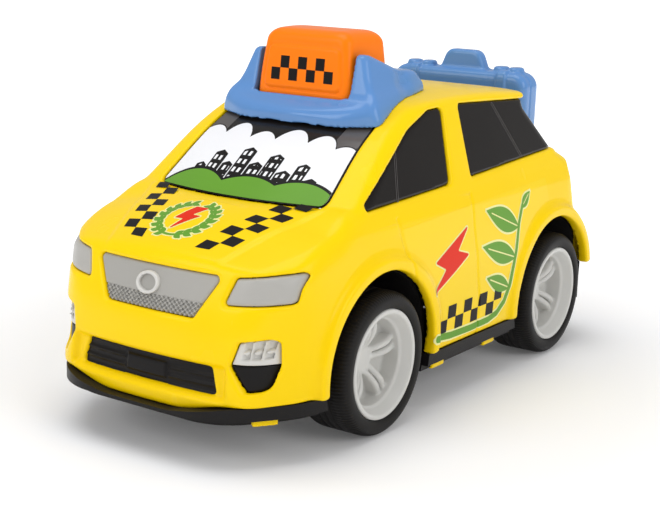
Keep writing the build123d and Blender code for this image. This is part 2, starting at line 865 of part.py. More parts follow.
# Roof sign base: a cap-shaped blue moulding with a brim in front, ears beside the sign and a tub
# that drops through the roof to hold the switch board.
sign_well_half = sign_half + sign_gap
sign_well_front_y = sign_front_y - sign_gap
sign_well_rear_y = sign_rear_y + sign_gap
brim_z = 106.4
base_rear_top_z = 118.6
ear_dip_y = -6.0
ear_dip_z = 124.8
cap_bottom_z = 95.0
with BuildPart() as roof_sign_base:
    with BuildSketch(Plane.YZ):
        with BuildLine():
            FilletPolyline(
                (brim_front_y, cap_bottom_z),
                (brim_front_y, brim_z),
                (sign_well_front_y - 1.5, base_deck_z),
                (base_rear_y - 6, base_rear_top_z),
                (base_rear_y, base_rear_top_z - 3),
                (base_rear_y, cap_bottom_z),
                radius=[0.5, 1.2, 5, 4, 2, 0.5],
                close=True,
            )
        make_face()
    extrude(amount=base_half, both=True)
    with BuildSketch(Plane.YZ):
        with BuildLine():
            FilletPolyline(
                (sign_well_front_y, cap_bottom_z),
                (sign_well_front_y, base_deck_z + 1),
                (sign_front_y + 4.5, ear_top_z),
                (sign_front_y + 9, ear_top_z),
                (ear_dip_y, ear_dip_z),
                (ear_dip_y + 10, ear_dip_z - 0.8),
                (base_rear_y - 4, base_rear_top_z - 1),
                (base_rear_y - 4, cap_bottom_z),
                radius=[0.5, 4, 2.5, 5, 12, 8, 2, 0.5],
                close=True,
            )
        make_face()
    extrude(amount=base_half, both=True)
    with BuildSketch(Plane.XZ):
        with BuildLine():
            FilletPolyline(
                (0, ear_top_z + 1),
                (ear_half, ear_top_z + 1),
                (ear_half + 4, base_deck_z + 6),
                (base_half - 1, base_deck_z - 4),
                (base_half, base_deck_z - 8),
                (base_half, cap_bottom_z),
                (0, cap_bottom_z),
                radius=[4, 15, 4, 4, 0.5],
            )
            mirror(about=Plane.YZ)
        make_face()
    extrude(amount=front_reach, both=True, mode=Mode.INTERSECT)
    with BuildSketch(Plane.XY.offset(cap_bottom_z)):
        with BuildLine():
            ThreePointArc((-base_half, brim_tip_y), (0, brim_front_y), (base_half, brim_tip_y))
            FilletPolyline(
                (base_half, brim_tip_y),
                (base_waist_half, base_waist_y),
                (base_tail_half, base_rear_y),
                (-base_tail_half, base_rear_y),
                (-base_waist_half, base_waist_y),
                (-base_half, brim_tip_y),
                radius=[30, 9, 9, 30],
            )
        make_face()
    extrude(amount=ear_top_z - cap_bottom_z + 2, mode=Mode.INTERSECT)
    add(outer_form, mode=Mode.SUBTRACT)
    with BuildSketch(Plane.XY.offset(tub_floor_z)):
        with Locations((0, sign_y)):
            Rectangle(2 * tub_half, tub_length)
    extrude(amount=base_deck_z - 1 - tub_floor_z)
    with BuildSketch(Plane.XY.offset(tub_floor_z + tub_floor_thickness)):
        with Locations((0, (sign_well_front_y + sign_well_rear_y) / 2)):
            Rectangle(2 * sign_well_half, sign_well_rear_y - sign_well_front_y)
    extrude(amount=ear_top_z, mode=Mode.SUBTRACT)
    with BuildSketch(Plane.XY.offset(tub_floor_z)):
        with Locations((lead_entry_x, lead_entry_y), (-lead_entry_x, lead_entry_y)):
            Circle(lead_radius + 0.3)
    extrude(amount=tub_floor_thickness, mode=Mode.SUBTRACT)
finish(roof_sign_base.part, "roof_sign_base")

# Orange roof sign: a hollow domed cap that slides down in the tub as the push button.
board_top_z = tub_floor_z + tub_floor_thickness + board_thickness
switch_top_z = board_top_z + switch_height
spring_height = 5.0
plunger_z = switch_top_z + sign_travel + 0.3
spring_seat_z = board_top_z + spring_height + sign_travel + 0.3


def sign_form(inset):
    """The sign's outer form, or the same form drawn in by inset."""
    foot_z = sign_foot_z - inset
    with BuildPart() as form:
        with BuildSketch(Plane.YZ):
            with BuildLine():
                FilletPolyline(
                    (sign_front_y, foot_z),
                    (sign_front_y + 1.4, sign_top_z - 0.6),
                    (sign_y, sign_top_z),
                    (sign_rear_y - 3.4, sign_top_z - 2.6),
                    (sign_rear_y, foot_z),
                    radius=[0.3, 4.5, 40, 6, 0.3],
                    close=True,
                )
            make_face()
            if inset:
                offset(amount=-inset, kind=Kind.INTERSECTION)
        extrude(amount=sign_half, both=True)
        with BuildSketch(Plane.XZ):
            with BuildLine():
                FilletPolyline(
                    (0, foot_z),
                    (sign_half, foot_z),
                    (sign_half, foot_z + 6),
                    (sign_top_half, sign_top_z - 1.6),
                    (0, sign_top_z + 0.6),
                    radius=[0.3, 20, 5.5],
                )
                mirror(about=Plane.YZ)
            make_face()
            if inset:
                offset(amount=-inset, kind=Kind.INTERSECTION)
        extrude(amount=front_reach, both=True, mode=Mode.INTERSECT)
        with BuildSketch(Plane.XY.offset(foot_z)):
            with Locations((0, sign_y)):
                RectangleRounded(
                    2 * (sign_half - inset), sign_rear_y - sign_front_y - 2 * inset, 4.5 - inset
                )
        extrude(amount=sign_top_z - foot_z + 2, mode=Mode.INTERSECT)
    return form.part


sign_outer = sign_form(0)
sign_inner = sign_form(sign_wall)
with BuildPart() as roof_sign:
    add(sign_outer)
    add(sign_inner, mode=Mode.SUBTRACT)
    with BuildSketch(Plane.XY.offset(spring_seat_z)):
        with Locations((0, sign_y)):
            Circle(spring_radius + 1)
    extrude(amount=sign_top_z - sign_wall - 1 - spring_seat_z)
    with BuildSketch(Plane.XY.offset(plunger_z)):
        with Locations((0, sign_y)):
            Circle(switch_side / 2 - 0.6)
    extrude(amount=spring_seat_z - plunger_z + 1)
finish(roof_sign.part, "roof_sign")

# Switch board in the tub, with the tact switch, two lamps and the button's return spring.
with BuildPart() as circuit_board:
    with BuildSketch(Plane.XY.offset(board_top_z - board_thickness)):
        with Locations((0, sign_y)):
            Rectangle(2 * sign_well_half - 1, sign_rear_y - sign_front_y - 1)
    extrude(amount=board_thickness)
finish(circuit_board.part, "circuit_board")

with BuildPart() as push_switch:
    with BuildSketch(Plane.XY.offset(board_top_z)):
        with Locations((0, sign_y)):
            Rectangle(switch_side, switch_side)
    extrude(amount=switch_height - 0.8)
    with BuildSketch(Plane.XY.offset(board_top_z)):
        with Locations((0, sign_y)):
            Circle(switch_side / 4)
    extrude(amount=switch_height)
finish(push_switch.part, "push_switch")

with BuildPart() as sign_lamps:
    with BuildSketch(Plane.XY.offset(board_top_z)):
        with Locations((13, sign_y), (-13, sign_y)):
            Circle(led_radius)
    extrude(amount=led_height)
    fillet(sign_lamps.edges().group_by(Axis.Z)[-1], led_radius - 0.2)
finish(sign_lamps.part, "sign_lamps")

with BuildPart() as sign_spring:
    with BuildLine():
        coil = Helix(
            pitch=(spring_height - spring_wire) / spring_turns,
            height=spring_height - spring_wire,
            radius=spring_radius,
            center=(0, sign_y, board_top_z + spring_wire / 2),
        )
    with BuildSketch(Plane(origin=coil @ 0, z_dir=coil % 0)):
        Circle(spring_wire / 2)
    sweep()
finish(sign_spring.part, "sign_spring")

# Luggage case behind the rear window: a hollow blue moulding with latches, straps and a handle.
strap_width = 4.0
strap_rise = 0.8
with BuildPart() as luggage_case:
    with BuildSketch(Plane.XZ.offset(-case_rear_y)):
        with Locations((0, (case_foot_z + case_top_z) / 2)):
            RectangleRounded(2 * case_half, case_top_z - case_foot_z, case_radius)
    extrude(amount=case_rear_y - case_front_y)
    fillet(luggage_case.edges().filter_by(GeomType.LINE, reverse=True), 1.5)
    with BuildSketch(Plane.XZ.offset(-case_rear_y - strap_rise)):
        with Locations((latch_x, (case_foot_z + case_top_z) / 2), (-latch_x, (case_foot_z + case_top_z) / 2)):
            Rectangle(strap_width, case_top_z - case_foot_z + 2 * strap_rise)
    extrude(amount=case_rear_y - case_front_y + 2 * strap_rise)
    with BuildSketch(Plane.XZ.offset(-handle_y - handle_thickness / 2)):
        with BuildLine():
            FilletPolyline(
                (-handle_base, case_top_z - 2),
                (handle_base, case_top_z - 2),
                (handle_top, handle_z),
                (-handle_top, handle_z),
                radius=[0.3, 0.3, 2.2, 2.2],
                close=True,
            )
        make_face()
    extrude(amount=handle_thickness)
    add(outer_form, mode=Mode.SUBTRACT)
    with BuildSketch(Plane.XZ.offset(-case_rear_y + case_wall)):
        with Locations((0, (case_foot_z + case_top_z) / 2 - case_wall)):
            Rectangle(2 * (case_half - case_wall) - 4, case_top_z - case_foot_z)
    extrude(amount=case_rear_y - case_front_y - 2 * case_wall, mode=Mode.SUBTRACT)
    with BuildSketch(Plane.XY.offset(case_foot_z - peg_length + 2)):
        with Locations((latch_x, peg_y), (-latch_x, peg_y)):
            Circle(peg_radius)
    extrude(amount=case_top_z - case_foot_z + peg_length - 3)
finish(luggage_case.part, "luggage_case")


# Friction drive: rear axle gear, compound gear and flywheel in a two-part gearbox.
def involute(angle):
    """The involute function of an angle in radians."""
    return tan(angle) - angle


def gear_outline(teeth, phase):
    """The flat outline of an involute gear, with one tooth centred at phase radians."""
    pitch_radius = gear_module * teeth / 2
    base_radius = pitch_radius * cos(radians(pressure_angle))
    root_radius = pitch_radius - gear_module * dedendum
    tip_radius = pitch_radius + gear_module * addendum
    half_tooth = pi / (2 * teeth) - backlash / (2 * pitch_radius) + involute(radians(pressure_angle))
    flank_steps = 5
    flank = [(root_radius, half_tooth)]
    for step in range(flank_steps):
        radius = max(base_radius, root_radius) + step * (
            tip_radius - max(base_radius, root_radius)
        ) / (flank_steps - 1)
        roll = sqrt(max(radius**2 / base_radius**2 - 1, 0))
        flank.append((radius, half_tooth - (roll - atan2(roll, 1))))
    points = []
    for tooth in range(teeth):
        middle = phase + 2 * pi * tooth / teeth
        for radius, half_angle in flank:
            points.append((radius * cos(middle - half_angle), radius * sin(middle - half_angle)))
        for radius, half_angle in reversed(flank):
            points.append((radius * cos(middle + half_angle), radius * sin(middle + half_angle)))
    return points


def make_gear(teeth, phase, at, left_x, face, bore):
    """A straight-toothed gear on an axis across the car."""
    with BuildPart() as gear:
        with BuildSketch(Plane.YZ.offset(left_x)):
            with Locations(at):
                Polygon(*gear_outline(teeth, phase), align=None)
                Circle(bore, mode=Mode.SUBTRACT)
        extrude(amount=face)
    return gear.part


first_stage_x = gear_left_x
second_stage_x = gear_left_x + gear_face + gear_gap
flywheel_x = second_stage_x + gear_face + gear_gap
toward_flywheel = pi - radians(train_angle)
pinion_half_pitch = pi / pinion_teeth
shaft_bore = shaft_radius + running_clearance

axle_gear_part = make_gear(
    wheel_teeth, toward_flywheel, (rear_axle_y, axle_z), first_stage_x, gear_face, axle_radius
)
finish(axle_gear_part, "axle_gear")

idler_pinion = make_gear(
    pinion_teeth,
    toward_flywheel + pi + pinion_half_pitch,
    (idler_y, idler_z),
    first_stage_x - gear_gap / 2,
    gear_face + 1.5 * gear_gap,
    shaft_bore,
)
idler_wheel = make_gear(
    wheel_teeth, toward_flywheel, (idler_y, idler_z), second_stage_x, gear_face, shaft_bore
)
with BuildPart() as idler_gear:
    add(idler_pinion)
    add(idler_wheel)
finish(idler_gear.part, "idler_gear")

flywheel_pinion = make_gear(
    pinion_teeth,
    toward_flywheel + pi + pinion_half_pitch,
    (flywheel_y, flywheel_z),
    second_stage_x,
    gear_face + gear_gap / 2,
    shaft_radius,
)
finish(flywheel_pinion, "flywheel_pinion")

with BuildPart() as flywheel:
    with BuildSketch(Plane.YZ.offset(flywheel_x)):
        with Locations((flywheel_y, flywheel_z)):
            Circle(flywheel_radius)
            Circle(shaft_radius, mode=Mode.SUBTRACT)
    extrude(amount=flywheel_width)
    chamfer(flywheel.edges().filter_by(GeomType.CIRCLE).sort_by(SortBy.RADIUS)[-2:], 0.8)
finish(flywheel.part, "flywheel")


def make_shaft(at, name):
    """A plain steel pin across the gearbox."""
    with BuildPart() as shaft:
        with BuildSketch(Plane.YZ.offset(gearbox_left_x)):
            with Locations(at):
                Circle(shaft_radius)
        extrude(amount=gearbox_right_x - gearbox_left_x)
    finish(shaft.part, name)


make_shaft((idler_y, idler_z), "idler_shaft")
make_shaft((flywheel_y, flywheel_z), "flywheel_shaft")

split_x = flywheel_x
foot_width = 8.0
foot_places = (flywheel_y + 4.0, rear_axle_y + 7.0)
riser_height = 12.0
foot_rise = 3.0


def make_gearbox_half(start_x, end_x, hand, name):
    """Half of the gearbox: a plate with bores, a rim wall and two feet on the chassis floor."""
    outer_x = start_x if hand < 0 else end_x
    wall_x = start_x + gearbox_wall if hand < 0 else start_x
    with BuildPart() as half:
        with BuildSketch(Plane.YZ.offset(start_x)):
            with Locations((idler_y, idler_z)):
                SlotCenterToCenter(2 * centre_distance, 2 * gearbox_outer, rotation=-train_angle)
        extrude(amount=end_x - start_x)
        for foot_y in foot_places:
            with BuildSketch(Plane.XY.offset(floor_top_z)):
                with Locations((outer_x + hand * foot_length / 2, foot_y)):
                    Rectangle(foot_length, foot_width)
            extrude(amount=foot_rise)
            with BuildSketch(Plane.XY.offset(floor_top_z)):
                with Locations((outer_x, foot_y)):
                    Rectangle(gearbox_wall, foot_width)
            extrude(amount=riser_height)
        with BuildSketch(Plane.YZ.offset(wall_x)):
            with Locations((idler_y, idler_z)):
                SlotCenterToCenter(2 * centre_distance, 2 * gearbox_radius, rotation=-train_angle)
        extrude(amount=end_x - start_x - gearbox_wall, mode=Mode.SUBTRACT)
        with BuildSketch(Plane.YZ.offset(start_x - gearbox_wall)):
            with Locations((rear_axle_y, axle_z)):
                Circle(axle_radius + running_clearance)
            with Locations((idler_y, idler_z)):
                Circle(shaft_radius)
            with Locations((flywheel_y, flywheel_z)):
                Circle(shaft_bore)
        extrude(amount=end_x - start_x + 2 * gearbox_wall, mode=Mode.SUBTRACT)
        with BuildSketch(Plane.XY.offset(floor_top_z)):
            for foot_y in foot_places:
                with Locations((outer_x + hand * foot_length * 0.6, foot_y)):
                    Circle(screw_radius)
        extrude(amount=foot_rise, mode=Mode.SUBTRACT)
    finish(half.part, name)


make_gearbox_half(gearbox_left_x, split_x, -1, "gearbox_right_half")
make_gearbox_half(split_x, gearbox_right_x, 1, "gearbox_left_half")

# Batteries: two cells across the car in a box on the chassis floor, with contacts and a door below.
cell_z = floor_z + door_thickness + 0.2 + cell_radius
box_top_z = cell_z + cell_radius + 0.4 + battery_wall
with BuildPart() as battery_box:
    with BuildSketch(Plane.XY.offset(floor_top_z)):
        with Locations((0, battery_y)):
            Rectangle(battery_length, battery_depth)
    extrude(amount=box_top_z - floor_top_z)
    with BuildSketch(Plane.XY.offset(floor_top_z)):
        with Locations((0, battery_y)):
            Rectangle(battery_length - 2 * battery_wall, battery_depth - 2 * battery_wall)
    extrude(amount=box_top_z - battery_wall - floor_top_z, mode=Mode.SUBTRACT)
finish(battery_box.part, "battery_box")

with BuildPart() as cells:
    with BuildSketch(Plane.YZ.offset(-cell_length / 2)):
        with Locations((battery_y - cell_pitch / 2, cell_z), (battery_y + cell_pitch / 2, cell_z)):
            Circle(cell_radius)
    extrude(amount=cell_length)
finish(cells.part, "cells")

contact_x = cell_length / 2 + contact_gap - contact_thickness
contact_height = 8.0
dimple_radius = 1.6
with BuildPart() as battery_contacts:
    with BuildSketch(Plane.YZ.offset(contact_x)):
        with Locations((battery_y - cell_pitch / 2, cell_z), (battery_y + cell_pitch / 2, cell_z)):
            Rectangle(contact_height, contact_height)
    extrude(amount=contact_thickness)
    with BuildSketch(Plane.YZ.offset(cell_length / 2)):
        with Locations((battery_y - cell_pitch / 2, cell_z), (battery_y + cell_pitch / 2, cell_z)):
            Circle(dimple_radius)
    extrude(amount=contact_x - cell_length / 2)
    mirror(about=Plane.YZ)
finish(battery_contacts.part, "battery_contacts")

door_screw_head = 1.0
with BuildPart() as battery_door:
    with BuildSketch(Plane.XY.offset(floor_z)):
        with Locations((0, battery_y)):
            Rectangle(2 * (door_half_x - fit), 2 * (door_half_y - fit))
        with Locations((0, battery_y + door_half_y + (door_tab_length - fit) / 2 - 1)):
            Rectangle(2 * (door_tab_half - fit), door_tab_length - fit + 2 - 2 * fit)
    extrude(amount=door_thickness)
    with BuildSketch(Plane.XY.offset(floor_z)):
        with Locations((0, door_screw_y)):
            Circle(screw_radius + fit)
    extrude(amount=door_thickness, mode=Mode.SUBTRACT)
    with BuildSketch(Plane.XY.offset(floor_z)):
        with Locations((0, door_screw_y)):
            Circle(screw_head_radius + fit)
    extrude(amount=door_screw_head + 0.2, mode=Mode.SUBTRACT)
    with BuildSketch(Plane.XY.offset(floor_z)):
        with GridLocations(5, 0, 7, 1):
            with Locations((0, battery_y)):
                Rectangle(1.2, 12)
    extrude(amount=0.5, mode=Mode.SUBTRACT)
finish(battery_door.part, "battery_door")


def make_screws(places, head_z, head_height, tip_z, name):
    """A group of equal round-headed screws, driven upwards, with a cross slot in each head."""
    rise = 1 if tip_z > head_z else -1
    with BuildPart() as screws:
        with BuildSketch(Plane.XY.offset(head_z)):
            with Locations(*places):
                Circle(screw_head_radius)
        extrude(amount=rise * head_height)
        with BuildSketch(Plane.XY.offset(head_z)):
            with Locations(*places):
                Circle(screw_radius)
        extrude(amount=tip_z - head_z)
        with BuildSketch(Plane.XY.offset(head_z)):
            with Locations(*places):
                Rectangle(3.2, 0.8)
                Rectangle(0.8, 3.2)
        extrude(amount=rise * head_height * 0.6, mode=Mode.SUBTRACT)
    finish(screws.part, name)


body_screw_places = [
    (hand * across, along) for across, along in (front_boss, rear_boss) for hand in (1, -1)
]
body_screw_head_z = floor_z + 1.2
make_screws(body_screw_places, body_screw_head_z, screw_head_height, screw_tip_z, "body_screws")
make_screws([(0, door_screw_y)], floor_z + 0.2, door_screw_head, floor_z + 6.5, "battery_door_screw")
gearbox_screw_places = [
    (outer_x + hand * foot_length * 0.6, foot_y)
    for outer_x, hand in ((gearbox_left_x, -1), (gearbox_right_x, 1))
    for foot_y in foot_places
]
gearbox_screw_top_z = floor_top_z + foot_rise + screw_head_height
make_screws(
    gearbox_screw_places, gearbox_screw_top_z, screw_head_height, floor_top_z, "gearbox_screws"
)

# Speaker on the chassis floor and the twin leads up to the switch board.
speaker_magnet_radius = 9.0
speaker_frame_height = 2.0
with BuildPart() as speaker:
    with BuildSketch(Plane.XY.offset(floor_top_z)):
        with Locations((0, speaker_y)):
            Circle(speaker_radius)
    extrude(amount=speaker_frame_height)
    with BuildSketch(Plane.XY.offset(floor_top_z)):
        with Locations((0, speaker_y)):
            Circle(speaker_magnet_radius)
    extrude(amount=speaker_height)
finish(speaker.part, "speaker")

lead_top_z = tub_floor_z + tub_floor_thickness
lead_upper_bend_z = 82.0
lead_lower_bend_z = 50.0
lead_bend = 40.0


def make_lead(hand, foot_x, foot_y, foot_z, name):
    """A lead from the switch board through the tub floor and down inside the body."""
    with BuildPart() as lead:
        with BuildLine() as route:
            FilletPolyline(
                (hand * lead_entry_x, lead_entry_y, lead_top_z),
                (hand * lead_entry_x, lead_entry_y, lead_upper_bend_z),
                (foot_x, foot_y, lead_lower_bend_z),
                (foot_x, foot_y, foot_z),
                radius=[lead_bend, lead_bend],
            )
        with BuildSketch(Plane.XY.offset(lead_top_z)):
            with Locations((hand * lead_entry_x, lead_entry_y)):
                Circle(lead_radius)
        sweep(path=route.wire())
    print(name, "bend radius", lead_bend, "length", route.wire().length)
    finish(lead.part, name)


make_lead(1, lead_entry_x, battery_y, box_top_z, "battery_lead")
make_lead(-1, -4, speaker_y + 2, floor_top_z + speaker_height, "speaker_lead")
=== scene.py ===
import math
from itertools import product

import bpy
import numpy as np
from mathutils import Matrix, Vector


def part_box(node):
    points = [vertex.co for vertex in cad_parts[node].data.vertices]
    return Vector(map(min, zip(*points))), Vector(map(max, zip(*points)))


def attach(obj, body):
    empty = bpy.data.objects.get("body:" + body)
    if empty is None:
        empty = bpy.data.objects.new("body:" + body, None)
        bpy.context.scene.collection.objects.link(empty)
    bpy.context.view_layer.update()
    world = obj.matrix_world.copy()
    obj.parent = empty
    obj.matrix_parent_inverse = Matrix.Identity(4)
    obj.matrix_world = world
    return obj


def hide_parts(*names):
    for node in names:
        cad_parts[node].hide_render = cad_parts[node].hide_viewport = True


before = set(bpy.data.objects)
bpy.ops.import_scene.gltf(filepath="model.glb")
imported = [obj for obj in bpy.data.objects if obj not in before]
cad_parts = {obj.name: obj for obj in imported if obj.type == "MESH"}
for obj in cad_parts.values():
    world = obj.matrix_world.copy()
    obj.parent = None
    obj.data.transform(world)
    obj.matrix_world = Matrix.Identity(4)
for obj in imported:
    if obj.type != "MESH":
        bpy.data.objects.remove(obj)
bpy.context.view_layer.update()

# The taxi is a moulded-plastic friction car. All shapes below are drawn in millimetres in the
# frame's own axes, nose at -Y, and become metres when a mesh is made.
mm = 0.001

# ----------------------------------------------------------------------------
# Camera, soft studio lamps and the pale floor the car stands on.
# A product shot: long lens, slightly above the roof line, from the front left of the car.
view_azimuth = math.radians(34.21)
view_elevation = math.radians(12.93)
view_roll = math.radians(2.01)
camera_place = Vector((298.9, -450.6, 170.3)) * mm
camera_lens = 75.0

camera_data = bpy.data.cameras.new("camera")
camera_data.lens = camera_lens
camera_data.sensor_width = 36.0
camera_data.clip_start = 0.01
camera = bpy.data.objects.new("camera", camera_data)
camera_turn = (
    Matrix.Rotation(view_azimuth, 4, "Z")
    @ Matrix.Rotation(math.pi / 2 - view_elevation, 4, "X")
    @ Matrix.Rotation(view_roll, 4, "Z")
)
camera.matrix_world = Matrix.Translation(camera_place) @ camera_turn
bpy.context.scene.collection.objects.link(camera)
bpy.context.scene.camera = camera
bpy.context.scene.view_settings.view_transform = "Standard"


def add_lamp(name, place, aim, size, power):
    """A square soft white lamp at place, pointing at aim, both in metres."""
    data = bpy.data.lights.new(name, "AREA")
    data.shape = "SQUARE"
    data.size = size
    data.energy = power
    lamp = bpy.data.objects.new(name, data)
    direction = Vector(aim) - Vector(place)
    lamp.matrix_world = Matrix.Translation(place) @ direction.to_track_quat("-Z", "Y").to_matrix().to_4x4()
    bpy.context.scene.collection.objects.link(lamp)


add_lamp("top_softbox", (-0.10, -0.15, 1.10), (0, 0, 0.05), 0.8, 5.0)
add_lamp("front_softbox", (-0.45, -1.10, 0.65), (0, -0.05, 0.06), 0.6, 3.2)
add_lamp("side_softbox", (1.10, -0.05, 0.60), (0, 0.02, 0.06), 0.7, 3.6)


def set_sockets(tree, node, sockets):
    """Give each named socket of a shader node a value, or the output of another node."""
    for name, given in sockets.items():
        if isinstance(given, bpy.types.NodeSocket):
            tree.links.new(given, node.inputs[name])
        else:
            node.inputs[name].default_value = given


def add_node(tree, kind, sockets, operation=None):
    """A new shader node with its sockets set."""
    node = tree.nodes.new("ShaderNode" + kind)
    if operation:
        node.operation = operation
    set_sockets(tree, node, sockets)
    return node


white = (1, 1, 1, 1)
world = bpy.data.worlds.new("studio")
bpy.context.scene.world = world
world.use_nodes = True
world.node_tree.nodes.clear()
rays = add_node(world.node_tree, "LightPath", {})
lit = add_node(world.node_tree, "Background", {"Color": white, "Strength": 0.5})
seen = add_node(world.node_tree, "Background", {"Color": white, "Strength": 1.0})
backdrop = add_node(
    world.node_tree, "MixShader", {0: rays.outputs["Is Camera Ray"], 1: lit.outputs[0], 2: seen.outputs[0]}
)
add_node(world.node_tree, "OutputWorld", {"Surface": backdrop.outputs[0]})

floor_half = 30.0
floor_mesh = bpy.data.meshes.new("studio_floor")
floor_corners = [(a * floor_half, b * floor_half, 0) for a, b in ((-1, -1), (1, -1), (1, 1), (-1, 1))]
floor_mesh.from_pydata(floor_corners, [], [(0, 1, 2, 3)])
floor = bpy.data.objects.new("studio_floor", floor_mesh)
bpy.context.scene.collection.objects.link(floor)
floor_paint = bpy.data.materials.new("floor_paint")
floor_paint.use_nodes = True
tree = floor_paint.node_tree
place = add_node(tree, "TexCoord", {}).outputs["Object"]
far = add_node(tree, "VectorMath", {0: place}, "LENGTH").outputs["Value"]
fade_reach = {"From Min": 0.12, "From Max": 0.55, "To Min": 0.06, "To Max": 0.75}
fade = add_node(tree, "MapRange", {"Value": far, **fade_reach}).outputs["Result"]
floor_look = {"Base Color": (0.93, 0.93, 0.94, 1), "Roughness": 0.9, "Specular IOR Level": 0.1}
floor_glow = {"Emission Color": fade, "Emission Strength": 1.0}
set_sockets(tree, tree.nodes["Principled BSDF"], {**floor_look, **floor_glow})
floor_mesh.materials.append(floor_paint)

# ----------------------------------------------------------------------------
# Body shell: one glossy yellow moulding, open underneath, 2.4 mm thick.
# Its form is the crossing of three drawn outlines, softened where they meet, and its openings
# are cut through it, so the same curves later give the panes and the printing their shape.
nose_y = -122.4
tail_y = 122.4
front_axle_y = -56.0
rear_axle_y = 79.0
axle_z = 26.2
body_half = 55.2
body_wall = 2.4
sill_z = 22.0
chin_z = 18.5
tail_sill_z = 34.0
tail_sill_y = 105.0
arch_radius = 33.5


def rounded_outline(corners, radii):
    """The points of a closed polygon with each corner turned into an arc of its radius."""
    corners = [np.array(c, float) for c in corners]
    outline = []
    for i, corner in enumerate(corners):
        before = corners[i - 1] - corner
        after = corners[(i + 1) % len(corners)] - corner
        room = min(np.linalg.norm(before), np.linalg.norm(after)) * 0.499
        before /= np.linalg.norm(before)
        after /= np.linalg.norm(after)
        half = math.acos(np.clip(before @ after, -1, 1)) / 2
        reach = min(radii[i] / math.tan(half), room)
        radius = reach * math.tan(half)
        centre = corner + (before + after) / np.linalg.norm(before + after) * radius / math.sin(half)
        start = corner + before * reach - centre
        end = corner + after * reach - centre
        turn = math.atan2(start[0] * end[1] - start[1] * end[0], start @ end)
        steps = max(2, int(abs(turn) / math.radians(4)) + 1)
        angle = math.atan2(start[1], start[0])
        for s in range(steps + 1):
            a = angle + turn * s / steps
            outline.append(centre + radius * np.array((math.cos(a), math.sin(a))))
    return np.array(outline)


def outline_distance(outline, a, b):
    """Signed distance from points (a, b) to a closed outline, negative inside."""
    nearest = np.full(a.shape, 1e9)
    inside = np.zeros(a.shape, bool)
    for p, q in zip(outline, np.roll(outline, -1, axis=0)):
        edge = q - p
        along = np.clip(((a - p[0]) * edge[0] + (b - p[1]) * edge[1]) / (edge @ edge + 1e-12), 0, 1)
        away = (a - p[0] - along * edge[0]) ** 2 + (b - p[1] - along * edge[1]) ** 2
        nearest = np.minimum(nearest, away)
        crosses = (p[1] > b) != (q[1] > b)
        inside ^= crosses & (a < p[0] + (b - p[1]) * edge[0] / (edge[1] + 1e-12))
    return np.where(inside, -1, 1) * np.sqrt(nearest)


class Drawn:
    """A drawn outline, kept as a table of distances that is looked up quickly."""

    def __init__(self, corners, radii, step=0.5, margin=14.0):
        outline = rounded_outline(corners, radii)
        self.low = outline.min(0) - margin
        self.step = step
        size = np.ceil((outline.max(0) + margin - self.low) / step).astype(int) + 1
        a, b = np.meshgrid(
            self.low[0] + step * np.arange(size[0]), self.low[1] + step * np.arange(size[1]), indexing="ij"
        )
        self.table = outline_distance(outline, a, b).astype(np.float32)
        self.outline = outline

    def __call__(self, a, b):
        """Distance at (a, b), from the four nearest entries of the table."""
        u = np.clip((a - self.low[0]) / self.step, 0, self.table.shape[0] - 1.001)
        v = np.clip((b - self.low[1]) / self.step, 0, self.table.shape[1] - 1.001)
        i = u.astype(np.int32)
        j = v.astype(np.int32)
        u = u - i
        v = v - j
        t = self.table
        near = t[i, j] * (1 - u) + t[i + 1, j] * u
        far = t[i, j + 1] * (1 - u) + t[i + 1, j + 1] * u
        return near * (1 - v) + far * v


def drawn_alike(corners, radii, **table):
    """A drawn outline that is the same on both sides, from the corners on its positive side."""
    other = [(-a, b) for a, b in corners[::-1] if a > 0]
    other_radii = [radius for (a, _), radius in zip(corners[::-1], radii[::-1]) if a > 0]
    return Drawn(corners + other, radii + other_radii, **table)


def soft_cross(a, b, radius):
    """Both shapes at once, their meeting edge rounded."""
    gap = np.maximum(radius - np.abs(a - b), 0) / radius
    return np.maximum(a, b) + gap * gap * radius / 4


def soft_join(a, b, radius):
    """Either shape, their meeting corner filled with a soft curve."""
    return -soft_cross(-a, -b, radius)


def rectangle(a, b, half):
    """How far (a, b) lies outside a rectangle about zero with two half sizes."""
    return np.maximum(np.abs(a) - half[0], np.abs(b) - half[1])


def ease(low, high, value):
    """A smooth step from 0 at low to 1 at high."""
    t = np.clip((value - low) / (high - low), 0, 1)
    return t * t * (3 - 2 * t)


side_view = Drawn(
    [(nose_y + 1.5, 0), (nose_y, 27.0), (-118.6, 50.0), (-113.2, 67.5), (-94.0, 77.0), (-76.5, 82.0)]
    + [(-48.5, 103.0), (-20.0, 115.2), (24.0, 118.6), (71.5, 112.9), (69.5, 108.0), (93.0, 86.5)]
    + [(102.0, 82.5), (104.5, 58.0), (119.4, 43.5), (tail_y, 33.0), (tail_y - 2, 0)],
    [0.5, 30, 60, 5.5, 60, 9, 110, 60, 200, 2.0, 2.5, 6, 4, 9, 7, 9, 0.5],
)
plan_view = drawn_alike(
    [(36.5, nose_y - 3.5), (52.5, -97.0), (58.5, -62.0), (58.5, 84.0), (56.5, tail_y + 4)],
    [24, 45, 100, 100, 25],
)
end_view = drawn_alike(
    [(52.7, 0), (body_half, 38.0), (body_half, 52.0), (51.8, 74.0), (49.8, 80.0)]
    + [(41.2, 114.0), (26.0, 118.0)],
    [0.5, 30, 30, 5, 8, 5, 60],
)
nose_bow = 0.0020
screen_bow = 0.0024
tail_bow = 0.0010
hood_fall = 3.2
arch_lip_radius = 35.6
arch_lip_x = 55.9


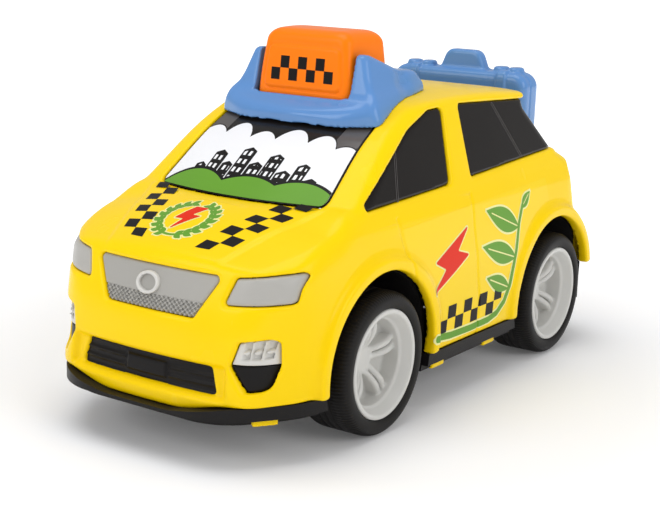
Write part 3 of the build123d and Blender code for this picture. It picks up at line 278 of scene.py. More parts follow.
def body_form(x, y, z):
    """Signed distance to the body's outer form, without openings."""
    front = 1 - ease(-14, 14, y)
    screen = ease(66, 84, z)
    bow = front * (nose_bow + screen_bow * screen) * x * x - (1 - front) * tail_bow * x * x
    hood = ease(-70, -84, y)
    fall = hood * hood_fall * (x / 50) ** 2
    shape = soft_cross(side_view(y - bow, z + fall), plan_view(x, y), 7.0)
    shape = soft_cross(shape, end_view(x, z), 5.0)
    for axle_y in (front_axle_y, rear_axle_y):
        out = np.hypot(y - axle_y, z - axle_z)
        lip_side = np.maximum(np.abs(x) - arch_lip_x, 40 - np.abs(x))
        lip = soft_cross(np.abs(out - arch_lip_radius) - 2.3, lip_side, 1.6)
        shape = soft_join(shape, lip, 3.5)
    return shape


screen_view = drawn_alike([(37.6, 81.1), (33.9, 106.8), (26.0, 107.6)], [2.5] * 3)
front_window_view = Drawn(
    [(-65.6, 80.2), (-3.4, 82.9), (-0.8, 111.4), (-11.0, 110.9), (-27.4, 104.9), (-41.1, 96.2)],
    [1.5, 2.5, 2.5, 8, 30, 30],
)
rear_window_view = Drawn([(12.6, 83.8), (102.0, 88.7), (84.0, 109.2), (11.0, 111.8)], [2.0, 1.6, 1.6, 2.0])
hatch_view = drawn_alike([(31.0, 91.5), (29.0, 107.0)], [2.5] * 2)
grille_view = drawn_alike([(18.8, 48.9), (27.2, 63.6)], [1.6] * 2)
headlight_view = Drawn([(29.2, 54.4), (49.2, 56.0), (50.4, 66.2), (32.2, 63.7)], [1.4] * 4)
lower_grille_view = drawn_alike([(29.6, 25.0), (27.0, 34.2)], [1.2] * 2)
pocket_view = Drawn(
    [(39.6, 27.0), (45.0, 27.4), (46.8, 36.0), (46.6, 45.2), (36.4, 43.6), (34.2, 35.6)],
    [1.0, 4, 8, 2.2, 1.0, 1.0],
)
trough_view = drawn_alike([(33.5, 24.2), (33.0, 35.0)], [1.5] * 2)

# How far each row of openings reaches into the body, and where the roof sign's tub drops through.
side_depth = 32.0
wrap_depth = 35.5
front_depth = -85.0
screen_front_y = -82.0
screen_rear_y = -14.0
hatch_front_y = 64.0
sign_y = -19.6
roof_hole_half = (23.6, 16.9)
roof_hole_z = 98.0


def roof_hole(x, y, z):
    """The opening in the roof under the sign."""
    return np.maximum(rectangle(x, y - sign_y, roof_hole_half), roof_hole_z - z)


def screen_hole(x, y, z):
    """The windscreen's opening."""
    return np.maximum(screen_view(x, z), np.maximum(y - screen_rear_y, screen_front_y - y))


# Every opening of the shell by name, as a signed distance, negative inside the opening.
openings = {
    "screen": screen_hole,
    "front_window": lambda x, y, z: np.maximum(front_window_view(y, z), side_depth - np.abs(x)),
    "rear_window": lambda x, y, z: np.maximum(rear_window_view(y, z), wrap_depth - np.abs(x)),
    "hatch": lambda x, y, z: np.maximum(hatch_view(x, z), hatch_front_y - y),
    "grille": lambda x, y, z: np.maximum(grille_view(x, z), y - front_depth),
    "headlight": lambda x, y, z: np.maximum(headlight_view(np.abs(x), z), y - front_depth),
    "lower_grille": lambda x, y, z: np.maximum(lower_grille_view(x, z), y - front_depth),
    "pocket": lambda x, y, z: np.maximum(pocket_view(np.abs(x), z), y - front_depth),
    "roof": roof_hole,
}


def line_distance(corners, a, b):
    """Distance from points (a, b) to an open line through its corners."""
    nearest = np.full(np.shape(a), 1e9)
    for p, q in zip(corners[:-1], corners[1:]):
        run = (q[0] - p[0], q[1] - p[1])
        along = np.clip(((a - p[0]) * run[0] + (b - p[1]) * run[1]) / (run[0] ** 2 + run[1] ** 2), 0, 1)
        nearest = np.minimum(nearest, np.hypot(a - p[0] - along * run[0], b - p[1] - along * run[1]))
    return nearest


front_door_seam = [(-44.5, 76.0), (-42.8, 69.0), (-37.6, 53.6), (-31.0, 42.0), (-24.0, 35.0), (-22.0, 20.0)]
rear_door_seam = [(9.2, 78.0), (8.8, 64.4), (9.8, 49.7), (13.0, 35.0), (14.0, 20.0)]


def hood_panel_half(y):
    """Half the width of the hood's raised panel, which widens towards the windscreen."""
    return 25.7 + (y + 108.5) * 0.352


def body_skin(x, y, z):
    """The outer form with its raised hood panel, bumper trough and door seams."""
    form = body_form(x, y, z)
    panel = hood_panel_half(y)
    creased = ease(-114, -109, y) * (1 - ease(-74, -70, y))
    form = form - 0.55 * (1 - ease(-1.2, 1.2, np.abs(x) - panel)) * creased * (z > 60)
    trough = trough_view(x, z) / 1.6
    form = form + 2.2 * (1 - ease(-1.0, 1.0, trough)) * (y < front_depth)
    seam = np.minimum(line_distance(front_door_seam, y, z), line_distance(rear_door_seam, y, z))
    return form + 0.45 * (1 - ease(0.15, 1.0, seam)) * (np.abs(x) > 44)


# Snap tabs by place and turn, and the posts that take the body screws. Both are the same left and right.
snap_tabs = [(51.4, -12.4, 0.0), (51.4, 28.0, 0.0), (41.4, -106.8, 33.6)]
tab_half = (1.1, 4.5, 4.7)
tab_z = 19.3
screw_posts = [(24.0, -99.0), (22.0, 94.0)]
post_radius = 4.0
post_foot_z = 27.0


def body_shell_field(x, y, z):
    """Signed distance to the finished shell."""
    form = body_skin(x, y, z)
    opening = np.full(form.shape, 1e3, np.float32)
    for hole in openings.values():
        opening = np.minimum(opening, hole(x, y, z))
    solid = soft_cross(form, -opening, 1.4)
    for axle_y in (front_axle_y, rear_axle_y):
        out = np.hypot(y - axle_y, z - axle_z)
        solid = soft_cross(solid, arch_radius - out, 1.2)
    chin = sill_z - (sill_z - chin_z) * (1 - ease(14, 36, np.abs(x))) * (y < -60)
    edge = chin + (tail_sill_z - sill_z) * ease(tail_sill_y - 2, tail_sill_y, y)
    solid = soft_cross(solid, edge - z, 1.6)
    solid = np.maximum(solid, -(form + body_wall))
    for tab_x, tab_y, turn in snap_tabs:
        turn = math.radians(turn)
        out_x = np.abs(x) - tab_x
        out_y = y - tab_y
        thick = np.abs(out_x * math.cos(turn) - out_y * math.sin(turn)) - tab_half[0]
        wide = np.abs(out_x * math.sin(turn) + out_y * math.cos(turn)) - tab_half[1]
        tab = np.maximum(soft_cross(thick, wide, 0.8), np.abs(z - tab_z) - tab_half[2])
        solid = np.minimum(solid, tab)
    for post_x, post_y in screw_posts:
        post = np.maximum(np.hypot(np.abs(x) - post_x, y - post_y) - post_radius, post_foot_z - z)
        solid = np.minimum(solid, np.maximum(post, form + 1.0))
    return solid


def pull_on(field, points, reach, stride, gentlest):
    """Points moved along a field's slope, a stride at most at a time, on to where it is zero."""
    for _ in range(4):
        slope = []
        for axis in range(points.shape[1]):
            shift = np.zeros(points.shape[1])
            shift[axis] = reach
            slope.append((field(*(points + shift).T) - field(*(points - shift).T)) / (2 * reach))
        slope = np.stack(slope, 1)
        move = slope * (field(*points.T) / np.maximum((slope * slope).sum(1), gentlest))[:, None]
        length = np.linalg.norm(move, axis=1, keepdims=True)
        points = points - move * np.minimum(1, stride / np.maximum(length, 1e-9))
    return points


def surface_net(field, box, step):
    """Points and quads of a field's zero surface. A box that starts at x = 0 is mirrored there."""
    low, high = np.array(box, float)
    mirror_x = low[0] == 0
    if mirror_x:
        low[0] = -step / 2
    # The field is looked up block by block first, and cell by cell only in blocks near the surface.
    block = 4
    blocks = np.ceil((high - low) / step / block).astype(int)
    centres = []
    for start, number in zip(low, blocks):
        centres.append(start + step * (block * np.arange(number) + block / 2 - 0.5))
    coarse = field(*np.meshgrid(*centres, indexing="ij"))
    values = np.repeat(np.repeat(np.repeat(coarse, block, 0), block, 1), block, 2).astype(np.float32)
    count = np.array(values.shape)
    near = np.nonzero(np.abs(values) < block * step * 1.5)
    values[near] = field(*[low[i] + step * near[i] for i in range(3)])
    inside = values < 0
    cells = np.zeros(count - 1, np.uint8)
    for i, j, k in product((0, 1), repeat=3):
        cells += inside[i : count[0] - 1 + i, j : count[1] - 1 + j, k : count[2] - 1 + k]
    active = np.nonzero((cells > 0) & (cells < 8))
    # Each cell that the surface crosses has one point, the middle of the crossings of its 12 edges.
    base = np.stack(active, 1)
    total = np.zeros((len(base), 3))
    crossings = np.zeros(len(base))
    for axis, j, k in product(range(3), (0, 1), (0, 1)):
        start = np.roll((0, j, k), axis)
        run = np.roll((1, 0, 0), axis)
        a = values[tuple((base + start).T)]
        b = values[tuple((base + start + run).T)]
        crossing = (a < 0) != (b < 0)
        t = np.where(crossing, a / np.where(crossing, a - b, 1), 0)
        total += (base + start + t[:, None] * run) * crossing[:, None]
        crossings += crossing
    points = low + step * total / crossings[:, None]
    number = np.full(count - 1, -1, np.int64)
    number[active] = np.arange(len(base))
    # Each grid edge that the surface crosses has one quad between the four cells round it.
    quads = []
    for axis in range(3):
        u = (axis + 1) % 3
        v = (axis + 2) % 3
        first = [slice(None)] * 3
        second = [slice(None)] * 3
        first[axis] = slice(0, -1)
        second[axis] = slice(1, None)
        change = inside[tuple(first)] != inside[tuple(second)]
        edge = np.stack(np.nonzero(change), 1)
        for side in (u, v):
            edge = edge[(edge[:, side] > 0) & (edge[:, side] < count[side] - 1)]
        ring = []
        for du, dv in ((-1, -1), (0, -1), (0, 0), (-1, 0)):
            cell = edge.copy()
            cell[:, u] += du
            cell[:, v] += dv
            ring.append(number[tuple(cell.T)])
        ring = np.stack(ring, 1)
        flip = ~inside[tuple(edge.T)]
        ring[flip] = ring[flip][:, ::-1]
        quads.append(ring)
    quads = np.concatenate(quads)
    quads = quads[(quads >= 0).all(1)]
    points = pull_on(field, points, 0.25 * step, 0.4 * step, 0.2)
    if mirror_x:
        middle = base[:, 0] == 0
        points[middle, 0] = 0
        twin = np.where(middle, np.arange(len(points)), np.cumsum(~middle) - 1 + len(points))
        points = np.concatenate([points, points[~middle] * (-1, 1, 1)])
        quads = np.concatenate([quads, twin[quads][:, ::-1]])
    return points, quads


def make_piece(name, points, faces):
    """A smooth-shaded object from points in millimetres and faces."""
    mesh = bpy.data.meshes.new(name)
    mesh.from_pydata((np.asarray(points) * mm).tolist(), [], np.asarray(faces).tolist())
    mesh.polygons.foreach_set("use_smooth", [True] * len(mesh.polygons))
    mesh.update()
    piece = bpy.data.objects.new(name, mesh)
    bpy.context.scene.collection.objects.link(piece)
    return piece


def thin_out(piece, share):
    """Merge faces where the surface is flat, down to a share of their number."""
    cut = piece.modifiers.new("thin_out", "DECIMATE")
    cut.ratio = share
    bpy.context.view_layer.update()
    thinned = bpy.data.meshes.new_from_object(piece.evaluated_get(bpy.context.evaluated_depsgraph_get()))
    piece.modifiers.clear()
    piece.data = thinned
    thinned.polygons.foreach_set("use_smooth", [True] * len(thinned.polygons))


def moulded_surface():
    """The uneven tone and gloss and the fine grain that all the toy's surfaces share, as a node group."""
    group = bpy.data.node_groups.new("moulded_surface", "ShaderNodeTree")
    for socket, kind, direction in (
        ("Colour", "Color", "INPUT"),
        ("Roughness", "Float", "INPUT"),
        ("Mottle", "Float", "INPUT"),
        ("Grain", "Float", "INPUT"),
        ("Grain Scale", "Float", "INPUT"),
        ("Colour", "Color", "OUTPUT"),
        ("Roughness", "Float", "OUTPUT"),
        ("Normal", "Vector", "OUTPUT"),
    ):
        group.interface.new_socket(socket, in_out=direction, socket_type="NodeSocket" + kind)
    given = group.nodes.new("NodeGroupInput").outputs
    place = add_node(group, "TexCoord", {}).outputs["Object"]
    cloud = add_node(group, "TexNoise", {"Vector": place, "Scale": 45.0, "Detail": 3.0}).outputs["Fac"]
    swing = add_node(group, "MapRange", {"Value": cloud, "To Min": -1.0, "To Max": 1.0}).outputs["Result"]
    tone = add_node(group, "Math", {0: swing, 1: given["Mottle"], 2: 1.0}, "MULTIPLY_ADD").outputs["Value"]
    base = add_node(group, "VectorMath", {0: given["Colour"], "Scale": tone}, "SCALE").outputs["Vector"]
    gloss = add_node(group, "Math", {0: swing, 1: 0.15, 2: 1.0}, "MULTIPLY_ADD").outputs["Value"]
    rough = add_node(group, "Math", {0: gloss, 1: given["Roughness"]}, "MULTIPLY").outputs["Value"]
    fine = {"Vector": place, "Scale": given["Grain Scale"], "Detail": 2.0}
    grain = add_node(group, "TexNoise", fine).outputs["Fac"]
    bump = add_node(group, "Bump", {"Strength": given["Grain"], "Distance": 0.0005, "Height": grain})
    result = group.nodes.new("NodeGroupOutput")
    set_sockets(group, result, {"Colour": base, "Roughness": rough, "Normal": bump.outputs["Normal"]})
    return group


moulded = moulded_surface()


def paint(
    name,
    colour,
    roughness=0.35,
    metallic=0.0,
    coat=0.0,
    coat_roughness=0.15,
    specular=0.22,
    mottle=0.04,
    grain=0.02,
    scale=900.0,
):
    """A material of one colour with the shared unevenness and grain."""
    material = bpy.data.materials.new(name)
    material.use_nodes = True
    tree = material.node_tree
    surface = tree.nodes.new("ShaderNodeGroup")
    surface.node_tree = moulded
    unevenness = {"Mottle": mottle, "Grain": grain, "Grain Scale": scale}
    set_sockets(tree, surface, {"Colour": (*colour, 1), "Roughness": roughness, **unevenness})
    gloss = {"Specular IOR Level": specular, "Coat Weight": coat, "Coat Roughness": coat_roughness}
    pattern = {
        "Base Color": surface.outputs["Colour"],
        "Roughness": surface.outputs["Roughness"],
        "Normal": surface.outputs["Normal"],
    }
    set_sockets(tree, tree.nodes["Principled BSDF"], {"Metallic": metallic, **gloss, **pattern})
    return material


def place_piece(piece, material, body, slot, nodes_replaced=()):
    """Give a piece its material and the body it moves with. The slot is not used."""
    piece.data.materials.append(material)
    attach(piece, body)
    for node in nodes_replaced:
        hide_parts(node)


most_quads = 99000


def add_moulding(name, field, box, cell, material, slot, node=None, body="car"):
    """A piece meshed from its field, thinned where it has too many faces, in place of its CAD node."""
    points, quads = surface_net(field, box, cell)
    piece = make_piece(name, points, quads)
    if len(quads) > most_quads:
        thin_out(piece, most_quads / len(quads))
    place_piece(piece, material, body, slot, [node] if node else [])


polished = {"coat_roughness": 0.08, "specular": 0.12, "grain": 0.01}
yellow = paint("yellow_plastic", (0.96, 0.65, 0.0), 0.26, coat=0.06, mottle=0.015, **polished)
body_box = ((0, -126, 14), (59, 126, 122))
body_cell = 0.7
add_moulding(
    "body_shell_moulding", body_shell_field, body_box, body_cell, yellow, "yellow_plastic", "body_shell"
)

# ----------------------------------------------------------------------------
# Panes and lamps: separate mouldings snapped in from inside, each following the body's form a
# little below its surface, with a step round the edge that shows as a thin shadow line.
pane_recess = 0.9
pane_thickness = 1.6
pane_gap = 0.12
pane_edge = 0.9
pane_cell = 0.7
lens_recess = 0.5
lens_edge = 1.4
lens_cell = 0.6


def pane_field(opening, recess, edge):
    """Signed distance of a pane that follows the body inside one of its openings."""

    def field(x, y, z):
        form = body_form(x, y, z) + recess + pane_thickness / 2
        return soft_cross(np.abs(form) - pane_thickness / 2, openings[opening](x, y, z) + pane_gap, edge)

    return field


smoked = {"coat_roughness": 0.05, "specular": 0.14, "grain": 0.01}
window_black = paint("window_black", (0.010, 0.008, 0.007), 0.20, coat=0.05, mottle=0.1, **smoked)
lamp_grey = paint("lamp_grey", (0.42, 0.41, 0.385), 0.38, coat=0.15, mottle=0.03)
lamp_white = paint("lamp_white", (0.62, 0.61, 0.58), 0.32, coat=0.2, mottle=0.03)
black_plastic = paint("black_plastic", (0.009, 0.008, 0.008), 0.36, specular=0.14, mottle=0.1, grain=0.05)

screen_box = ((-42, -78, 78), (42, -28, 110))
hatch_box = ((-34, 66, 88), (34, 96, 110))
for name, opening, box, node in (
    ("windscreen_pane", "screen", screen_box, "windscreen"),
    ("rear_window_pane", "hatch", hatch_box, "rear_window"),
):
    pane = pane_field(opening, pane_recess, pane_edge)
    add_moulding(name, pane, box, pane_cell, window_black, "window_black", node)

for side, window_x, lens_x in (("left", (34, 54), (26, 54)), ("right", (-54, -34), (-54, -26))):
    for row, low, high in (("front", (-68, 78), (2, 114)), ("rear", (8, 80), (98, 115))):
        name = f"{row}_side_window_{side}"
        pane = pane_field(f"{row}_window", pane_recess, pane_edge)
        box = ((window_x[0], *low), (window_x[1], *high))
        add_moulding(name, pane, box, pane_cell, window_black, "window_black", f"side_window_{row}_{side}")
    name = f"headlight_lens_{side}"
    lens = pane_field("headlight", lens_recess, lens_edge)
    box = ((lens_x[0], -122, 51), (lens_x[1], -88, 70))
    add_moulding(name, lens, box, lens_cell, lamp_grey, "lamp_grey", f"headlight_{side}")

# ----------------------------------------------------------------------------
# Printing: thin ink films transferred on to the mouldings. Each is a flat drawn shape laid on the
# surface below it, so it bends with the body. The motifs are plain: chequers, leaves and bolts.
film_lift = 0.05

# From outside to inside each surface, along the axis that a film is laid along.
glass_search = (-82.0, -24.0)
hood_search = (94.0, 60.0)
door_search = (62.0, 44.0)
side_glass_search = (62.0, 30.0)


def film_cells(shape, low, high, cell):
    """Points and quads filling a flat drawn shape, the outer ones pulled on to its outline."""
    u, v = np.meshgrid(np.arange(low[0], high[0], cell), np.arange(low[1], high[1], cell), indexing="ij")
    rows = u.shape[1]
    i, j = np.nonzero(shape(u[:-1, :-1] + cell / 2, v[:-1, :-1] + cell / 2) < 0)
    corner = i * rows + j
    quads = np.stack([corner, corner + rows, corner + rows + 1, corner + 1], 1)
    used, quads = np.unique(quads, return_inverse=True)
    quads = quads.reshape(-1, 4)
    points = np.stack([u.ravel()[used], v.ravel()[used]], 1)
    rim = np.bincount(quads.ravel()) < 4
    points[rim] = pull_on(shape, points[rim], 0.2 * cell, 0.5 * cell, 0.25)
    return points, quads


def settle(above, search, spots):
    """For each spot, the place from outside to inside where above turns from true to false."""
    outside = np.full(spots.shape, search[0])
    inside = np.full(spots.shape, search[1])
    for _ in range(22):
        middle = (outside + inside) / 2
        free = above(middle)
        outside = np.where(free, middle, outside)
        inside = np.where(free, inside, middle)
    return outside


def on_glass(lift):
    """Lays a flat (x, z) shape on the windscreen."""
    return lambda x, z: (x, settle(lambda y: body_form(x, y, z) + pane_recess > lift, glass_search, x), z)


def on_hood(lift):
    """Lays a flat (x, y) shape on the hood."""
    return lambda x, y: (x, y, settle(lambda z: body_skin(x, y, z) > lift, hood_search, x))


def on_side(lift, hand):
    """Lays a flat (y, z) shape on a door side."""
    return lambda y, z: (hand * settle(lambda x: body_skin(x, y, z) > lift, door_search, y), y, z)


def on_side_glass(lift, hand):
    """Lays a flat (y, z) shape on the side windows of one side."""
    return lambda y, z: (
        hand * settle(lambda x: body_form(x, y, z) + pane_recess > lift, side_glass_search, y),
        y,
        z,
    )


def leaf(a, b, foot, tip, width):
    """Signed distance to a pointed leaf between its foot and tip, and to its midrib."""
    run = np.array(tip, float) - np.array(foot, float)
    length = np.linalg.norm(run)
    run /= length
    along = ((a - foot[0]) * run[0] + (b - foot[1]) * run[1]) / length
    across = np.abs((a - foot[0]) * run[1] - (b - foot[1]) * run[0])
    blade = (across - width / 2 * np.sin(math.pi * np.clip(along, 0, 1) ** 0.85)) * 0.85
    blade = np.maximum(blade, np.maximum(-along, along - 1) * length)
    rib = np.maximum(across - 0.28, np.abs(along - 0.44) * length - 0.4 * length)
    return blade, rib


# Each ink with the material of the record that it counts as.
inks = {
    "black": (paint("print_black", (0.009, 0.008, 0.008), 0.36, specular=0.10, mottle=0.1), "black_plastic"),
    "green": (
        paint("print_green", (0.13, 0.33, 0.03), 0.34, coat=0.05, specular=0.12, mottle=0.05),
        "board_green",
    ),
    "red": (
        paint("print_red", (0.74, 0.022, 0.003), 0.34, coat=0.05, specular=0.10, mottle=0.03),
        "lead_cover",
    ),
    "white": (paint("print_white", (0.86, 0.87, 0.90), 0.30, coat=0.3, mottle=0.02), "screen_white"),
    "pale": (paint("print_pale", (0.86, 0.84, 0.34), 0.34, coat=0.2, mottle=0.02), "screen_white"),
    "shade": (paint("print_shade", (0.075, 0.068, 0.066), 0.30, coat=0.3, mottle=0.06), "window_black"),
}
clear_ink = paint("print_clear", (0.96, 0.67, 0.010), 0.24, coat=0.08, specular=0.12, mottle=0.01)
inks["clear"] = (clear_ink, "yellow_plastic")


def add_film(name, shape, area, lay, ink, cell=0.3, body="car", hand=1):
    """A printed film: a flat shape filled with small faces and laid on a surface."""
    flat, quads = film_cells(shape, *area, cell)
    film = make_piece(name, np.stack(lay(*flat.T), 1), quads[:, ::hand])
    material, slot = inks[ink]
    place_piece(film, material, body, slot)


# ----------------------------------------------------------------------------
# Windscreen printing: a black tint band under the brim, shaded corners, clouds on a white sky, and
# green hills before dark town houses with lit windows, printed in layers one over another.
glass_edge = 0.9
shade_start_x = 24.5
shade_foot_z = 96.5
cloud_foot_z = 93.0
cloud_puffs = [(-29, 92.0, 9.3), (-17, 95.5, 7.6), (-4.5, 93.0, 8.6), (8.0, 94.5, 8.6), (20.5, 95.0, 7.2)]
cloud_puffs += [(30.5, 91.5, 8.0)]
house_tops = [(-23, 5.0, 90.0), (-17, 6.0, 94.5), (-11, 5.0, 91.5), (-5, 6.0, 96.5), (1.5, 6.0, 92.5)]
house_tops += [(8, 6.0, 95.5), (14.5, 6.0, 91.0), (20.5, 5.0, 93.5), (26, 5.0, 89.5)]
house_foot_z = 83.5
roof_slope = 0.35
hill_crowns = [(-19.0, 62.0, 26.0), (4.0, 55.0, 33.0), (24.0, 60.0, 28.0)]


def glass_area(x, z):
    """The printed area of the windscreen."""
    return screen_view(x, z) + glass_edge


def clouds(x, z):
    """The white sky with its cloud edge on top."""
    sky = z - cloud_foot_z
    for puff_x, puff_z, radius in cloud_puffs:
        sky = np.minimum(sky, np.hypot(x - puff_x, z - puff_z) - radius)
    return np.maximum(glass_area(x, z), sky)


def corner_shade(x, z):
    """The shaded corners above the clouds."""
    lean = shade_foot_z + (np.abs(x) - 24.0) * 0.30
    corner = np.maximum(glass_area(x, z), shade_start_x - np.abs(x))
    return np.maximum(corner, np.maximum(lean - z, 0.3 - clouds(x, z)))


def houses(x, z):
    """The row of houses, each a box with a low roof."""
    row = np.full(x.shape, 1e3)
    for house_x, width, top in house_tops:
        roof = z - top + np.abs(x - house_x) * roof_slope
        row = np.minimum(row, np.maximum(np.abs(x - house_x) - width / 2, roof))
    return np.maximum(row, house_foot_z - z)


def hills(x, z):
    """The hills, down to the lower edge of the glass."""
    crowns = np.full(x.shape, 1e3)
    for crown_x, crown_z, radius in hill_crowns:
        crowns = np.minimum(crowns, np.hypot(x - crown_x, z - crown_z) - radius)
    return np.maximum(crowns, glass_area(x, z))


def lit_windows(x, z):
    """Small window panes inside the houses, clear of the hills."""
    pane = rectangle((x + 0.6) % 2.4 - 1.2, (z + 0.3) % 2.6 - 1.3, (0.6, 0.7))
    return np.maximum(np.maximum(pane, houses(x, z) + 0.8), 0.9 - hills(x, z))


def hill_edge(x, z):
    """The dark line along the top of the hills."""
    return np.maximum(hills(x, z) - 0.7, glass_area(x, z))


glass_box = ((-39.0, 80.0), (39.0, 106.0))
for name, shape, layer, ink, cell in (
    ("sky", clouds, 1, "white", 0.3),
    ("shade", corner_shade, 1, "shade", 0.3),
    ("houses", houses, 2, "black", 0.3),
    ("windows", lit_windows, 3, "white", 0.2),
    ("hill_edge", hill_edge, 3, "black", 0.3),
    ("hills", hills, 4, "green", 0.3),
):
    add_film(f"windscreen_print_{name}", shape, glass_box, on_glass(layer * film_lift), ink, cell)

# ----------------------------------------------------------------------------
# Hood printing: two slanting columns of chequers along each raised edge, and an open wreath of
# leaves round a bolt, with a pale outline under both.
hood_square = 4.55
hood_column = 5.5
hood_rear_y = -76.3
wreath_x = -2.6
wreath_y = -95.6
wreath_radius = 10.2
wreath_leaf = (3.7, 2.1)
hood_slope = 0.93


def hood_chequer(x, y):
    """The slanting chequers, clipped by the hood's rounded front and the windscreen."""
    inward = hood_panel_half(y) - np.abs(x)
    row = np.floor((hood_rear_y - y) / hood_square)
    row_y = hood_rear_y - (row + 0.5) * hood_square
    inner = (row % 2 == 0).astype(float)
    column = 3.2 + hood_column * (0.5 + inner)
    square = rectangle(inward - column, y - row_y, (hood_column / 2, hood_square / 2))
    clip = np.maximum(y + 74.9 - 0.0022 * x * x, -(y + 108.6 - 0.0035 * x * x))
    return np.maximum(square, clip)


def wreath(x, y):
    """The stem of the wreath and the leaves along both sides of it."""
    u = x - wreath_x
    v = (y - wreath_y) / hood_slope
    out = np.hypot(u, v)
    gap = math.radians(22)
    angle = np.arctan2(u, v)
    shape = np.maximum(np.abs(out - wreath_radius) - 0.5, (gap - np.abs(angle)) * 9)
    for k in range(9):
        turn = gap + math.radians(4 + 17.5 * k)
        foot = np.array((math.sin(turn), math.cos(turn))) * wreath_radius
        for tilt in (-0.62, 0.62):
            aim = math.pi + turn + math.pi / 2 + tilt
            tip = foot + wreath_leaf[0] * np.array((math.sin(aim), math.cos(aim)))
            shape = np.minimum(shape, leaf(np.abs(u), v, foot, tip, wreath_leaf[1])[0])
    return shape


bolt_corners = [(-1.2, 7.6), (4.4, 7.6), (1.4, 1.9), (5.0, 1.9), (-2.6, -8.0), (-0.6, -1.2), (-4.4, -1.2)]
bolt_view = Drawn(bolt_corners, [0.3] * 7, step=0.2, margin=3)


def hood_bolt(x, y):
    """The bolt inside the wreath."""
    return bolt_view(x - wreath_x, (y - wreath_y) / hood_slope)


def badge_outline(x, y):
    """The pale edge round the wreath and the bolt."""
    return np.minimum(wreath(x, y), hood_bolt(x, y)) - 0.55


hood_box = ((-40.0, -112.0), (40.0, -72.0))
badge_box = ((wreath_x - 18, wreath_y - 17), (wreath_x + 18, wreath_y + 17))
for name, shape, area, layer, ink, cell in (
    ("chequer", hood_chequer, hood_box, 1, "black", 0.22),
    ("outline", badge_outline, badge_box, 1, "pale", 0.2),
    ("wreath", wreath, badge_box, 2, "green", 0.2),
    ("bolt", hood_bolt, badge_box, 2, "red", 0.2),
):
    add_film(f"hood_print_{name}", shape, area, on_hood(layer * film_lift), ink, cell)

# ----------------------------------------------------------------------------
# Door printing: a clear film that leaves the yellow a little paler, chequers above the sill, a stripe
# that climbs as a stem with leaves behind the door seam, and a wide bolt on the front door.
stripe_line = [(-20.5, 27.6), (-8.0, 26.3), (7.7, 25.9), (22.0, 26.2), (29.0, 27.6), (34.5, 31.4)]
stripe_line += [(38.0, 37.5), (40.6, 46.0), (42.8, 54.0), (45.6, 62.0), (49.6, 68.6)]
side_leaves = [
    ((45.0, 60.5), (19.0, 70.5), 9.5),
    ((41.6, 48.5), (14.0, 57.0), 8.6),
    ((37.6, 36.6), (17.5, 44.0), 6.6),
    ((48.8, 67.6), (57.0, 73.4), 4.6),
]
side_bolt_corners = [(4.8, 67.4), (-22.0, 56.6), (-14.6, 53.2), (-24.8, 44.0), (3.4, 56.2), (-5.0, 58.6)]
side_bolt = Drawn(side_bolt_corners, [0.4] * 6, step=0.25, margin=3)
side_square_half = (6.15 / 2, 5.1 / 2)
side_rows = [(-8.4, 35.9), (-14.6, 30.8)]
side_pitch = 12.3
stripe_half = 1.35
stem_thinning = 0.45
stripe_foot_z = 24.6
outline_foot_z = 24.2


def side_chequer(y, z):
    """Two rows of chequers standing on the stripe."""
    shape = np.full(y.shape, 1e3)
    for row_y, row_z in side_rows:
        for k in range(4):
            square = rectangle(y - row_y - side_pitch * k, z - row_z, side_square_half)
            shape = np.minimum(shape, square)
    return shape


def side_stem(y, z):
    """The stripe, drawn out thinner as it climbs, and its leaves without their midribs."""
    shape = line_distance(stripe_line, y, z) - stripe_half + stem_thinning * ease(30, 66, z)
    for foot, tip, width in side_leaves:
        blade, rib = leaf(y, z, foot, tip, width)
        shape = np.minimum(shape, np.maximum(blade, -rib))
    return np.maximum(shape, stripe_foot_z - z)


def side_outline(y, z):
    """The pale edge round the stem, leaves and bolt."""
    shape = line_distance(stripe_line, y, z) - stripe_half - 0.75 + stem_thinning * ease(30, 66, z)
    for foot, tip, width in side_leaves:
        shape = np.minimum(shape, leaf(y, z, foot, tip, width)[0] - 0.7)
    return np.maximum(np.minimum(shape, side_bolt(y, z) - 0.6), outline_foot_z - z)


def side_clear(y, z):
    """The clear film between the wheel arches, up to the belt."""
    belt = z - 72.0 - 0.042 * (y + 43.5)
    ends = np.maximum(-43.5 - y, y - 73.0 + (z - 77) * 0.12)
    arches = np.minimum(np.hypot(y - front_axle_y, z - axle_z), np.hypot(y - rear_axle_y, z - axle_z))
    return np.maximum(np.maximum(belt, ends), np.maximum(41.5 - arches, 24.4 - z))


sides = ((1, "left"), (-1, "right"))
side_box = ((-46.0, 22.0), (76.0, 80.0))
for hand, side in sides:
    for name, shape, layer, ink, cell in (
        ("clear", side_clear, 0.6, "clear", 0.5),
        ("outline", side_outline, 1.6, "pale", 0.3),
        ("chequer", side_chequer, 2, "black", 0.3),
        ("stem", side_stem, 3, "green", 0.3),
        ("bolt", side_bolt, 3, "red", 0.3),
    ):
        lay = on_side(layer * film_lift, hand)
        add_film(f"door_print_{name}_{side}", shape, side_box, lay, ink, cell, hand=hand)

# ----------------------------------------------------------------------------
# Side glass printing: a thin grey double line marks the quarter light in the front window and the
# pillar in the rear one. It is printed like the rest, on the windows.
quarter_line = [(-37.6, 98.0), (-40.8, 82.0)]
pillar_line = [(39.1, 109.6), (56.7, 87.6)]


def glass_lines(y, z):
    """The two printed double lines of the side glass."""
    lines = np.minimum(line_distance(quarter_line, y, z), line_distance(pillar_line, y, z))
    return np.abs(lines - 0.55) - 0.16


glass_lines_box = ((-44, 80), (60, 112))
for hand, side in sides:
    lay = on_side_glass(film_lift, hand)
    add_film(f"side_glass_lines_{side}", glass_lines, glass_lines_box, lay, "shade", 0.2, hand=hand)

